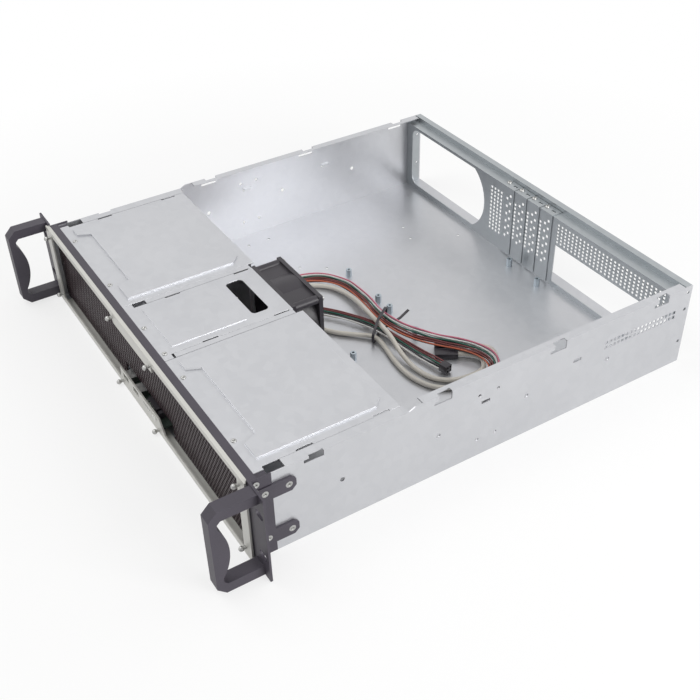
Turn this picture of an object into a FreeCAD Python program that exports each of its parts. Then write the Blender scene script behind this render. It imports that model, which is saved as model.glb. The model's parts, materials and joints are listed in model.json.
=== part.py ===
"""An empty two-unit rackmount server case, as a parametric document.

Units are millimetres, +Z is up, +X is to the right as seen from the front and +Y runs to the rear.
Every piece is drawn with y = 0 at the front face of the rack ears and z = 0 under the floor, and is
then moved along Y by its placement, so that the origin lies under the middle of the whole case.
"""
import FreeCAD, Part
import math
import os
import re
import Sketcher

Vector = FreeCAD.Vector
doc = FreeCAD.newDocument("RackServerCase")
sheet = doc.addObject("Spreadsheet::Sheet", "Sizes")
aliases = []


def size(alias, number, meaning):
    """Write one driving dimension on the sheet: what it measures, its value and its alias."""
    aliases.append(alias)
    row = len(aliases)
    sheet.set(f"A{row}", meaning)
    sheet.set(f"B{row}", str(number))
    sheet.setAlias(f"B{row}", alias)


# Chassis
size("body_wide", 430, "outside width of the chassis")
size("body_tall", 86.4, "height of the chassis over its top flanges")
size("body_deep", 456, "rear edge of the floor behind the ear faces")
size("body_front", -1, "front edge of the floor and walls")
size("steel", 1, "sheet of the chassis, covers and rear panel")
size("top_flange", 8.5, "width of the flange along the top of each side wall")
size("rim_tall", 83.6, "height of the walls and covers over the drive bays")
size("rim_flange", 10, "width of the side walls' flange beside the covers")
size("rim_front", 33, "front end of that flange")
size("rim_end", 144.5, "start of the step up to the full wall height")
size("rim_step", 6, "length of that step")
size("flange_start", 158, "front end of the side walls' upper flanges")
size("bar_rear", 8.7, "rear edge of the front bar's top face")
size("bar_top", 85.2, "height of the front bar")
size("flange_end", 447.5, "rear end of the side walls' top flanges")
size("hook_first", 53, "front edge of the first lid hook notch")
size("hook_wide", 13, "length of a lid hook notch")
size("hook_pitch", 120.4, "spacing of the lid hook notches")
size("hook_count", 4, "lid hook notches in each side wall")
size("hook_low", 78.5, "lower edge of the lid hook notches")
size("hook_slit", 4.5, "how far a hook's slit runs forward of its notch")
size("hook_slit_tall", 3, "height of that slit")
size("hook_bite", 4.5, "how far a notch cuts into the top flange")
size("hook_bite_front", 2.5, "how far the first notch cuts into its lower flange")
size("rail_row", 44, "height of the slide rail screw row")
size("rail_first", 81.5, "first slide rail screw hole")
size("rail_pitch", 92.5, "spacing of the slide rail screw holes")
size("rail_hole", 2.2, "radius of the slide rail screw holes")
size("wall_hole", 1.7, "radius of the small holes in the walls")
size("bridge_first", 217.5, "front end of the first wall bridge")
size("bridge_pitch", 100, "spacing of the wall bridges")
size("bridge_long", 9, "length of a wall bridge")
size("bridge_low", 57.2, "lower edge of the slots under the wall bridges")
size("bridge_tall", 3, "height of the slots under the wall bridges")
size("bridge_reach", 4, "how far a wall bridge stands inward")
size("vent_first", 353.6, "front edge of the side vent field")
size("vent_low", 56.2, "lower edge of the side vent field")
size("vent_hole", 3.4, "side of a vent hole")
size("vent_pitch", 4.82, "spacing of the vent holes along the wall")
size("vent_rise", 5.2, "spacing of the vent rows")
size("vent_columns", 18, "vent holes in a row")
size("vent_rows", 3, "vent rows")

# Rear panel
size("rear_inset", 19, "how far the rear panel stands in front of the rear edge")
size("shelf_top", 81.4, "top face of the rear shelf")
size("rail_wide", 7, "width of the rear rail's top face")
size("rail_lip", 6, "height of the rear rail's outer lip")
size("side_gap", 0.1, "clearance between the rear panel and each side wall")
size("psu_left", -203, "left edge of the power supply opening")
size("psu_low", 7, "lower edge of the power supply opening")
size("psu_high", 78, "upper edge of the power supply opening")
size("psu_arc_x", -106, "centre of the round right side of that opening")
size("psu_arc_radius", 42, "radius of the round right side")
size("psu_corner", 10, "corner radius at the left of that opening")
size("io_left", 53, "left edge of the connector opening")
size("io_wide", 158.75, "width of the connector opening")
size("io_low", 6.8, "lower edge of the connector opening")
size("io_tall", 44.45, "height of the connector opening")
size("grille_hole", 3.3, "side of a rear grille hole")
size("grille_pitch", 5.4, "spacing of the rear grille columns")
size("grille_rise", 4.5, "spacing of the rear grille rows")
size("io_grille_columns", 28, "columns of the grille over the connector opening")
size("io_grille_rows", 7, "rows of the grille over the connector opening")
size("io_grille_low", 53.8, "lower edge of that grille")
size("io_grille_hole", 3, "side of a hole of that grille")
size("io_grille_rise", 3.9, "spacing of that grille's rows")
size("block_left", -54.2, "left edge of the narrow grille beside the slots")
size("block_low", 18.5, "lower edge of the narrow grille")
size("block_columns", 4, "columns of the narrow grille")
size("block_rows", 13, "rows of the narrow grille")

# Expansion slots
size("slot_first", -23, "middle of the first expansion slot")
size("slot_pitch", 20.32, "spacing of the expansion slots")
size("slot_wide", 12, "width of an expansion slot opening")
size("slot_low", 12, "lower edge of the slot openings")
size("slot_high", 77, "upper edge of the slot openings")
size("web_rows", 11, "holes in the web beside a slot")
size("web_low", 24, "lower edge of the web holes")
size("cover_thick", 0.8, "sheet of the slot covers")
size("cover_wide", 15.4, "width of a slot cover")
size("cover_low", 3, "lower edge of a slot cover")
size("cover_hole_rows", 6, "holes in each of a cover's two columns")
size("tab_reach", 11.5, "length of a slot cover's top tab")
size("tab_screw", 8.5, "slot middle to its cover screw")
size("screw_radius", 1.5, "radius of the small screws' shanks")
size("screw_fit", 0.1, "clearance around a small screw's shank")
size("head_radius", 2.8, "radius of a pan head")
size("head_tall", 1.6, "height of a pan head")
size("flat_head_radius", 2.4, "radius of a bay cover screw's flat head")
size("flat_head_tall", 0.8, "height of that head")

# Drive bays
size("bay_rear", 143, "rear edge of the outer bay covers")
size("centre_rear", 137, "rear edge of the centre bay cover")
size("divider_left_x", -44.2, "left face of the left bay divider")
size("divider_right_x", 43, "left face of the right bay divider")
size("divider_left_front", 30.6, "front edge of the left divider")
size("divider_right_front", 20, "front edge of the right divider")
size("divider_flange", 6.2, "width of a divider's top flange")
size("divider_foot", 8, "width of a divider's foot")
size("pass_front", 97, "front edge of the cable hole in a divider")
size("pass_long", 26, "length of that hole")
size("pass_low", 12, "lower edge of that hole")
size("pass_tall", 40, "height of that hole")
size("seam", 0.3, "gap between neighbouring sheets in the top")
size("emboss", 1.6, "height of the pressed panels in the covers")
size("emboss_edge", 8.5, "flat rim around a pressed panel")
size("emboss_front", 18.5, "front edge of the pressed panels")
size("bay_low_rear", 31, "rear edge of the low bay in an outer cover's pressed panel")
size("bay_low_half", 48, "half width of that bay at its rear")
size("bay_low_flare", 6, "how much wider the bay is at its front, on each side")
size("strip_rear", 18, "rear edge of the covers' screw strip")
size("left_screws_x", -129.6, "middle of the left cover's two screws")
size("right_screws_x", 123, "middle of the right cover's two screws")
size("cover_screw_half", 45.6, "half the distance between an outer cover's screws")
size("centre_screw_left", -3.9, "left screw of the centre cover")
size("centre_screw_right", 39.6, "right screw of the centre cover")
size("cover_screw_y", 13.4, "row of the covers' screws")
size("cover_ear", 3.8, "how far a cover's front corner reaches into the wall's corner opening")
size("side_slot_front", 48, "front end of the first thin slot along a cover's edge")
size("side_slot_pitch", 70, "spacing of the thin slots")
size("side_slot_long", 15, "length of a thin slot")
size("side_slot_wide", 2, "width of a thin slot")
size("tongue_long", 6, "length of a cover's tongue")
size("tongue_reach", 5, "how far a tongue passes under its neighbour")
size("window_left", -26, "left edge of the centre cover's window")
size("window_wide", 56, "width of that window")
size("window_front", 103, "front edge of that window")
size("window_deep", 17, "depth of that window")
size("window_corner", 4, "corner radius of that window")
size("cover_lip", 8, "height of the turned-down rear edge of an outer cover")

# Front
size("frame_thick", 1.5, "sheet of the front frame")
size("frame_front", -2.5, "front face of the front frame")
size("frame_wide", 433, "outside width of the front frame")
size("frame_post", 13, "width of the front frame's posts")
size("frame_low", 6.5, "height of the front frame's lower bar")
size("frame_high", 5, "height of the front frame's upper bar")
size("stud_tab_wide", 92, "width of the tab under the upper bar")
size("stud_tab_tall", 8, "height of that tab")
size("panel_left", -46, "left edge of the control panel tab")
size("panel_right", 52, "right edge of the control panel tab")
size("panel_tall", 19.5, "upper edge of the control panel tab")
size("bar_drop", 5, "height of the front bar's inner leg")
size("bar_gap", 2, "gap between the front frame's plate and the bar")
size("bar_return", 20, "rear end of the front bar's side returns")
size("bar_return_low", 74, "lower edge of the side returns")
size("bar_steel", 1.2, "thickness of the side returns")
size("bar_return_screw_y", 6.6, "side return screw behind the ear faces")
size("bar_return_screw_z", 79.8, "height of the side return screw")
size("mesh_front", 5, "front face of the mesh")
size("mesh_thick", 1.2, "thickness of the mesh")
size("mesh_high", 83.6, "upper edge of the mesh")
size("mesh_notch", 3, "clearance of the mesh around the control panel")
size("mesh_slot", 2.2, "height of a mesh slot")
size("mesh_slot_long", 75, "length of a mesh slot")
size("mesh_pitch", 81, "spacing of the mesh slots along a row")
size("mesh_rise", 4.4, "spacing of the mesh rows")
size("mesh_columns", 5, "mesh slots in a row")
size("mesh_rows", 13, "rows of mesh slots")
size("mesh_low", 25.6, "lower edge of the first slot row over the control panel")
size("mesh_side_low", 8, "lower edge of the first slot row beside the control panel")
size("mesh_side_rows", 4, "rows of slots beside the control panel")
size("mesh_side_columns", 2, "slots in a row on each side of the control panel")
size("mesh_side_pitch", 76, "spacing of those slots")
size("mesh_side_long", 70, "length of those slots")
size("stud_radius", 1.6, "radius of a bezel stud's neck")
size("stud_ball", 2.4, "radius of a bezel stud's head")
size("stud_reach", 4, "frame face to the middle of a stud's head")

# Control panel
size("board_low", 9, "underside of the control board")
size("board_thick", 1.6, "thickness of the control board")
size("board_deep", 19.5, "rear edge of the control board")
size("port_wide", 13.1, "width of a data port")
size("port_tall", 5.8, "height of a data port")
size("port_long", 14, "length of a data port")
size("port_wall", 0.5, "shell of a data port")
size("port_left_x", -34, "middle of the left data port")
size("port_right_x", -10.5, "middle of the right data port")
size("control_row", 13.6, "height of the row of controls")
size("lamp_radius", 1.4, "radius of a status lamp")
size("lamp_first", 8, "middle of the first status lamp")
size("lamp_pitch", 4.2, "spacing of the status lamps")
size("lamp_count", 4, "status lamps")
size("reset_x", 24.6, "middle of the reset button")
size("reset_radius", 1.2, "radius of the reset button")
size("power_x", 31.5, "middle of the power button")
size("power_radius", 2.3, "end radius of the oval power button")
size("power_long", 3.4, "distance between the oval's two ends")
size("button_fit", 0.3, "clearance around a button")
size("button_travel", 0.8, "travel of a button")
size("button_proud", 0.8, "how far a button stands out of the panel")
size("button_collar", 0.6, "width and thickness of a button's collar")
size("switch_front", 1.9, "front face of the switches behind the buttons")

# Rack ears and handles
size("ear_span", 482.6, "width over the rack ears")
size("ear_low", 0.6, "lower edge of the rack ears")
size("ear_high", 88, "upper edge of the rack ears")
size("ear_thick", 2, "plate of the ear brackets")
size("strip_deep", 19.7, "depth of the ear bracket's side strip")
size("strip_low", 2.4, "lower edge of the side strip")
size("strip_high", 73.6, "upper edge of the side strip")
size("lobe_deep", 40.2, "rear end of the side plate's two arms")
size("lobe_tall", 14.4, "height of each arm")
size("lobe_low", 11.6, "lower edge of the lower arm")
size("lobe_high", 73.6, "upper edge of the upper arm")
size("lobe_corner", 4, "corner cut at the end of each arm")
size("ear_screw_y", 13.4, "first column of the ear bracket screws")
size("ear_screw_inset", 6.2, "arm end to the second column of screws")
size("slot_span", 465.1, "distance between the two columns of rack slots")
size("slot_row_low", 22.2, "height of the lower rack slots")
size("slot_rise", 44.45, "distance between the two rows of rack slots")
size("slot_radius", 3.4, "half width of a rack slot")
size("slot_long", 5, "distance between a rack slot's two ends")
size("handle_reach", 40.2, "how far the handles stand out of the ears")
size("handle_inner_x", 220.8, "inner side of a handle")
size("handle_wide", 12, "width of a handle")
size("handle_low", 1.2, "lower face of a handle")
size("handle_high", 87.4, "upper face of a handle")
size("handle_leg", 9.5, "thickness of a handle's legs")
size("handle_grip", 6.5, "thickness of a handle's grip")
size("handle_corner", 7.5, "corner cut of a handle")
size("grip_bulge", 7.5, "how far the grip swells inward")
size("grip_half", 26, "half height of that swelling")
size("ear_screw_head", 3.1, "radius of an ear screw's flush head")
size("ear_screw_sink", 1.2, "depth of that head")

# Fan
size("fan_x", 0.5, "middle of the fan across the case")
size("fan_side", 80, "side of the square fan frame")
size("fan_deep", 32, "depth of the fan")
size("fan_flange", 4, "thickness of the fan's corner flanges")
size("fan_bore", 37.6, "radius of the fan's air duct")
size("fan_barrel", 39.8, "outside radius of the fan's duct")
size("fan_low", 3.4, "underside of the fan")
size("fan_screw_pitch", 71.5, "spacing of the fan's corner holes")
size("fan_screw_hole", 2.2, "radius of the fan's corner holes")
size("hub_radius", 16, "radius of the fan's hub")
size("hub_deep", 18, "depth of the fan's hub")
size("motor_deep", 4, "depth of the motor mount at the rear")
size("blade_count", 7, "blades of the fan")
size("blade_tip", 36.6, "radius at the blade tips")
size("blade_thick", 1.4, "thickness of a blade")
size("blade_chord", 22, "chord of a blade")
size("shaft_radius", 1.5, "radius of the fan's shaft")
size("shaft_fit", 0.05, "clearance of the fan's shaft in the hub")
size("rotor_gap", 0.6, "gap between the rotor and the motor mount")

# Board supports
size("post_across", 5.5, "distance across the flats of a board standoff")
size("post_tall", 9, "height of a board standoff")
size("post_bore", 1.3, "radius of a standoff's threaded hole")
size("post_first_x", 203, "standoff column beside the connector opening")
size("post_rear_y", 424.5, "rear row of standoffs")
size("post_second_row", 154.94, "rear row to the middle row of standoffs")
size("post_third_row", 227.33, "rear row to the front row of standoffs")
size("post_second_column", 157.48, "first to second column of standoffs")
size("post_small_column", 203.2, "first column to the short board's last column")
size("post_fourth_column", 224.3, "first column to the extra standoff")
size("post_last_column", 281.94, "first column to the last column of standoffs")
doc.recompute()

WORD = re.compile(r"[a-z][a-z_]*")


def on_sheet(formula):
    """Point every alias in a formula at the sheet."""
    return WORD.sub(lambda word: "Sizes." + word.group() if word.group() in aliases else word.group(),
                    str(formula))


def value(alias):
    """The number that a cell of the sheet holds now."""
    return float(sheet.get(alias))


def bind(item, prop, formula):
    """Bind a property of an object to a formula of sizes."""
    item.setExpression(prop, on_sheet(formula))


SHIFT = "(handle_reach - body_deep) / 2"
nodes = []


def node(item, label):
    """Name a finished sub-part and move it from the ear faces to the case's own origin."""
    item.Label = label
    bind(item, ".Placement.Base.y", SHIFT)
    nodes.append(item)
    return item


def place(item, x, y, z):
    """Bind an object's position to three formulas."""
    bind(item, ".Placement.Base.x", x)
    bind(item, ".Placement.Base.y", y)
    bind(item, ".Placement.Base.z", z)


def block(name, x, y, z):
    """A block between two planes on each axis, each plane given as a formula."""
    item = doc.addObject("Part::Box", name)
    for prop, (low, high) in (("Length", x), ("Width", y), ("Height", z)):
        bind(item, prop, f"({high}) - ({low})")
    place(item, x[0], y[0], z[0])
    return item


TURNS = {
    "x": FreeCAD.Rotation(Vector(0, 1, 0), 90),
    "y": FreeCAD.Rotation(Vector(1, 0, 0), -90),
    "z": FreeCAD.Rotation(),
}


def rod(name, axis, x, y, z, radius, length):
    """A cylinder that starts at x, y, z and runs along one axis."""
    item = doc.addObject("Part::Cylinder", name)
    item.Placement = FreeCAD.Placement(Vector(), TURNS[axis])
    bind(item, "Radius", radius)
    bind(item, "Height", length)
    place(item, x, y, z)
    return item


def peg(name, axis, x, y, z, radius, length):
    """An eight-sided rod that starts at x, y, z and runs along one axis, for small screws and holes."""
    item = doc.addObject("Part::Prism", name)
    item.Placement = FreeCAD.Placement(Vector(), TURNS[axis])
    item.Polygon = 8
    bind(item, "Circumradius", radius)
    bind(item, "Height", length)
    place(item, x, y, z)
    return item


def fuse(name, shapes):
    """One solid out of several that touch or overlap."""
    item = doc.addObject("Part::MultiFuse", name)
    item.Shapes = shapes
    item.Refine = True
    return item


def group(name, shapes):
    """Several separate solids kept together."""
    item = doc.addObject("Part::Compound", name)
    item.Links = shapes
    return item


def cut(name, base, tools):
    """A base with one or more tools taken out of it."""
    item = doc.addObject("Part::Cut", name)
    item.Base = base
    item.Tool = tools[0] if len(tools) == 1 else fuse(name + "_tools", tools)
    return item


def common(name, base, tool):
    """What two shapes share."""
    item = doc.addObject("Part::Common", name)
    item.Base = base
    item.Tool = tool
    return item


def mirrored(name, source):
    """The mirror image of a shape on the other side of the case."""
    item = doc.addObject("Part::Mirroring", name)
    item.Source = source
    item.Normal = Vector(1, 0, 0)
    return item


def new_body(name):
    """An empty body."""
    return doc.addObject("PartDesign::Body", name)


def drawing(body, plane, name, offset):
    """A sketch on one of the body's own planes, at an offset along the case's own axis."""
    item = body.newObject("Sketcher::SketchObject", name)
    support = [feature for feature in body.Origin.OriginFeatures if feature.Role == plane]
    item.AttachmentSupport = [(support[0], "")]
    item.MapMode = "FlatFace"
    sign = "-" if plane == "XZ_Plane" else ""
    bind(item, ".AttachmentOffset.Base.z", f"{sign}({offset})")
    return item


def outline(item, corners):
    """A closed outline of straight lines, each corner held by two formulas from the sketch's origin."""
    first = item.GeometryCount
    count = len(corners)
    rough = [Vector(math.cos(2 * math.pi * step / count), math.sin(2 * math.pi * step / count), 0)
             for step in range(count + 1)]
    for step in range(count):
        item.addGeometry(Part.LineSegment(rough[step], rough[step + 1]), False)
    for step, (across, up) in enumerate(corners):
        before = first + (step - 1) % count
        item.addConstraint(Sketcher.Constraint("Coincident", before, 2, first + step, 1))
        for kind, formula in (("DistanceX", across), ("DistanceY", up)):
            held = item.addConstraint(Sketcher.Constraint(kind, -1, 1, first + step, 1, 1.0))
            bind(item, f"Constraints[{held}]", formula)


def rectangle(item, across, up):
    """A closed rectangle between two formulas each way."""
    outline(item, [(across[0], up[0]), (across[1], up[0]), (across[1], up[1]), (across[0], up[1])])


def circle(item, across, up, radius):
    """A circle held by its middle and its radius."""
    index = item.addGeometry(Part.Circle(Vector(1, 1, 0), Vector(0, 0, 1), 1), False)
    for kind, formula in (("DistanceX", across), ("DistanceY", up)):
        held = item.addConstraint(Sketcher.Constraint(kind, -1, 1, index, 3, 1.0))
        bind(item, f"Constraints[{held}]", formula)
    held = item.addConstraint(Sketcher.Constraint("Radius", index, 1.0))
    bind(item, f"Constraints[{held}]", radius)


def octagon(item, across, up, radius, stretch="0"):
    """An eight-sided outline around a middle, its two halves moved apart by a stretch along the first axis."""
    corners = []
    for step in range(8):
        angle = math.radians(45 * step)
        side = round(math.cos(angle), 5)
        shift = (f" + ({stretch}) / 2", "", f" - ({stretch}) / 2")[1 - (side > 0.01) + (side < -0.01)]
        corners.append((f"{across} + {side} * ({radius}){shift}",
                        f"{up} + {math.sin(angle):.5f} * ({radius})"))
    outline(item, corners)


def pad(body, sketch, length):
    """Material from a sketch toward the positive side of its axis."""
    item = body.newObject("PartDesign::Pad", sketch.Name + "_pad")
    item.Profile = sketch
    item.Reversed = sketch.AttachmentSupport[0][0].Role == "XZ_Plane"
    bind(item, "Length", length)
    item.Refine = True
    return item


def pocket(body, sketch, side="both", depth=None):
    """A cut from a sketch to both sides of it, or to its high or low side, through all or to a depth."""
    item = body.newObject("PartDesign::Pocket", sketch.Name + "_pocket")
    item.Profile = sketch
    item.Type = "Length" if depth else "ThroughAll"
    if depth:
        bind(item, "Length", depth)
    item.Midplane = side == "both"
    lies_along_y = sketch.AttachmentSupport[0][0].Role == "XZ_Plane"
    item.Reversed = (side == "high") != lies_along_y and side != "both"
    return item


def spread(body, feature, sketch, name, across, up=None):
    """Repeat a feature along its sketch's axes: pairs of spacing and count, as formulas, or None."""
    doc.recompute()
    item = body.newObject("PartDesign::LinearPattern", name)
    item.Originals = [feature]
    first, second = (across, up) if across else (up, None)
    item.Direction = (sketch, ["H_Axis" if across else "V_Axis"])
    item.Mode = "Spacing"
    bind(item, "Offset", first[0])
    bind(item, "Occurrences", first[1])
    if second:
        item.Direction2 = (sketch, ["V_Axis"])
        item.Mode2 = "Spacing"
        bind(item, "Offset2", second[0])
        bind(item, "Occurrences2", second[1])
    item.Refine = False
    body.Tip = item
    return item


def hole_field(body, plane, name, offset, corner, extent, across, up, side="both", depth=None):
    """A field of square or oblong holes from its low corner, with spacing and count each way."""
    sketch = drawing(body, plane, name, offset)
    rectangle(sketch, (corner[0], f"{corner[0]} + {extent[0]}"), (corner[1], f"{corner[1]} + {extent[1]}"))
    feature = pocket(body, sketch, side, depth)
    return spread(body, feature, sketch, name + "_field", across, up)


def round_edges(body, name, radius, wanted):
    """Round the edges of a body that a test picks."""
    doc.recompute()
    base = body.Tip
    names = [f"Edge{index + 1}" for index, edge in enumerate(base.Shape.Edges) if wanted(edge)]
    item = body.newObject("PartDesign::Fillet", name)
    item.Base = (base, names)
    bind(item, "Radius", radius)
    return item


# Planes that several pieces share
HALF = "body_wide / 2"
INNER = "(body_wide / 2 - steel)"
FLANGE_IN = "(body_wide / 2 - top_flange)"
ROOF = "(body_tall - steel)"
RIM_UNDER = "(rim_tall - steel)"
RIM_IN = "(body_wide / 2 - rim_flange)"
FLOOR = "steel"
THROUGH = "4 * steel"
SIDES = (("", "Right"), ("-", "Left"))
COVER_SCREWS = ("left_screws_x - cover_screw_half", "left_screws_x + cover_screw_half",
                "right_screws_x - cover_screw_half", "right_screws_x + cover_screw_half",
                "centre_screw_left", "centre_screw_right")


def make_chassis_pan():
    """The floor and both side walls, folded out of one sheet, with turned-in top flanges."""
    body = new_body("ChassisPan")
    section = drawing(body, "XZ_Plane", "PanSection", "body_front")
    outline(section, [
        (f"-{HALF}", "0"), (HALF, "0"), (HALF, "body_tall"), (FLANGE_IN, "body_tall"),
        (FLANGE_IN, ROOF), (INNER, ROOF), (INNER, FLOOR), (f"-{INNER}", FLOOR),
        (f"-{INNER}", ROOF), (f"-{FLANGE_IN}", ROOF), (f"-{FLANGE_IN}", "body_tall"),
        (f"-{HALF}", "body_tall"),
    ])
    pad(body, section, "body_deep - body_front")

    # Beside the drive bays the walls are lower, up to a sloped step.
    seat = drawing(body, "YZ_Plane", "RimSeat", "0")
    outline(seat, [
        ("body_front - 1", "rim_tall"), ("rim_end", "rim_tall"), ("rim_end + rim_step", "body_tall"),
        ("rim_end + rim_step", "body_tall + 1"), ("body_front - 1", "body_tall + 1"),
    ])
    pocket(body, seat)
    for sign, side in SIDES:
        rim = drawing(body, "XY_Plane", f"Rim{side}", RIM_UNDER)
        rectangle(rim, (f"{sign}{RIM_IN}", f"{sign}{INNER}"), ("rim_front", "rim_end"))
        pad(body, rim, "steel")
        ends = drawing(body, "XY_Plane", f"FlangeEnds{side}", ROOF)
        for front, rear in (("rim_end", "flange_start"), ("flange_end", "body_deep + 1")):
            rectangle(ends, (f"{sign}({FLANGE_IN} - 1)", f"{sign}{INNER}"), (front, rear))
        pocket(body, ends, "high")

    # Lid hook notches, each with a slit that runs forward, in both walls at once.
    hook = drawing(body, "YZ_Plane", "HookNotch", "0")
    outline(hook, [
        ("hook_first - hook_slit", "hook_low"), ("hook_first + hook_wide", "hook_low"),
        ("hook_first + hook_wide", RIM_UNDER), ("hook_first", RIM_UNDER),
        ("hook_first", "hook_low + hook_slit_tall"),
        ("hook_first - hook_slit", "hook_low + hook_slit_tall"),
    ])
    feature = pocket(body, hook)
    spread(body, feature, hook, "HookNotches", ("hook_pitch", "hook_count"))
    upper = drawing(body, "YZ_Plane", "HookUpper", "0")
    rectangle(upper, ("hook_first + hook_pitch", "hook_first + hook_pitch + hook_wide"),
              (f"{RIM_UNDER} - 0.5", ROOF))
    feature = pocket(body, upper)
    spread(body, feature, upper, "HookUppers", ("hook_pitch", "hook_count - 1"))
    for sign, side in SIDES:
        first = drawing(body, "XY_Plane", f"HookBiteFirst{side}", RIM_UNDER)
        rectangle(first, (f"{sign}({HALF} - hook_bite_front)", f"{sign}({HALF} + 1)"),
                  ("hook_first", "hook_first + hook_wide"))
        pocket(body, first, "high", "2 * steel")
        bite = drawing(body, "XY_Plane", f"HookBite{side}", ROOF)
        rectangle(bite, (f"{sign}({HALF} - hook_bite)", f"{sign}({HALF} + 1)"),
                  ("hook_first + hook_pitch", "hook_first + hook_pitch + hook_wide"))
        feature = pocket(body, bite, "high")
        spread(body, feature, bite, f"HookBites{side}", None, ("hook_pitch", "hook_count - 1"))

    # Slide rail screw holes.
    rail = drawing(body, "YZ_Plane", "RailHoles", "0")
    for step in range(4):
        circle(rail, f"rail_first + {step} * rail_pitch", "rail_row", "rail_hole")
    pocket(body, rail)

    # Bridges: a slot with its upper edge folded inward.
    bridge = drawing(body, "YZ_Plane", "BridgeSlot", "0")
    rectangle(bridge, ("bridge_first", "bridge_first + bridge_long"),
              ("bridge_low", "bridge_low + bridge_tall"))
    feature = pocket(body, bridge)
    spread(body, feature, bridge, "BridgeSlots", ("bridge_pitch", "2"))
    for sign, side in SIDES:
        tongue = drawing(body, "XY_Plane", f"BridgeTongue{side}", "bridge_low + bridge_tall")
        rectangle(tongue, (f"{sign}({INNER} - bridge_reach)", f"{sign}{INNER}"),
                  ("bridge_first", "bridge_first + bridge_long"))
        feature = pad(body, tongue, "steel")
        spread(body, feature, tongue, f"BridgeTongues{side}", None, ("bridge_pitch", "2"))

    # The vent field is in the right wall only.
    hole_field(body, "YZ_Plane", "Vent", "0", ("vent_first", "vent_low"), ("vent_hole", "vent_hole"),
               ("vent_pitch", "vent_columns"), ("vent_rise", "vent_rows"), "high")

    # Small screw holes: around the wall bridges, at the rear edge, under the ear brackets, in the floor.
    small = [(back, f"rail_row + {rise}", "wall_hole") for rise in (23.4, -25.4)
             for back in ("bridge_first - 2.3", "bridge_first + 17")]
    small += [("body_deep - 5", f"rail_row + {rise}", "wall_hole") for rise in (36.7, 17.9, -18.8)]
    small += [(back, up, "screw_radius + screw_fit") for back, up in EAR_SCREWS]
    tools = [peg(f"WallHole{number}", "x", f"-({HALF} + 1)", back, up, radius, "body_wide + 2")
             for number, (back, up, radius) in enumerate(small)]
    tools += [peg(f"FloorHole{number}", "z", across, back, "-1", "wall_hole", "steel + 2")
              for number, (across, back) in enumerate(FLOOR_HOLES)]
    return node(cut("ChassisPanDrilled", body, tools), "chassis_pan")


FLOOR_HOLES = (("-193.5", "208.8"), ("-193.5", "233.8"), ("-122.9", "234.3"), ("-105.5", "258"),
               ("-105.5", "368"), ("-130", "374.6"), ("-81.4", "416.5"))


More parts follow.
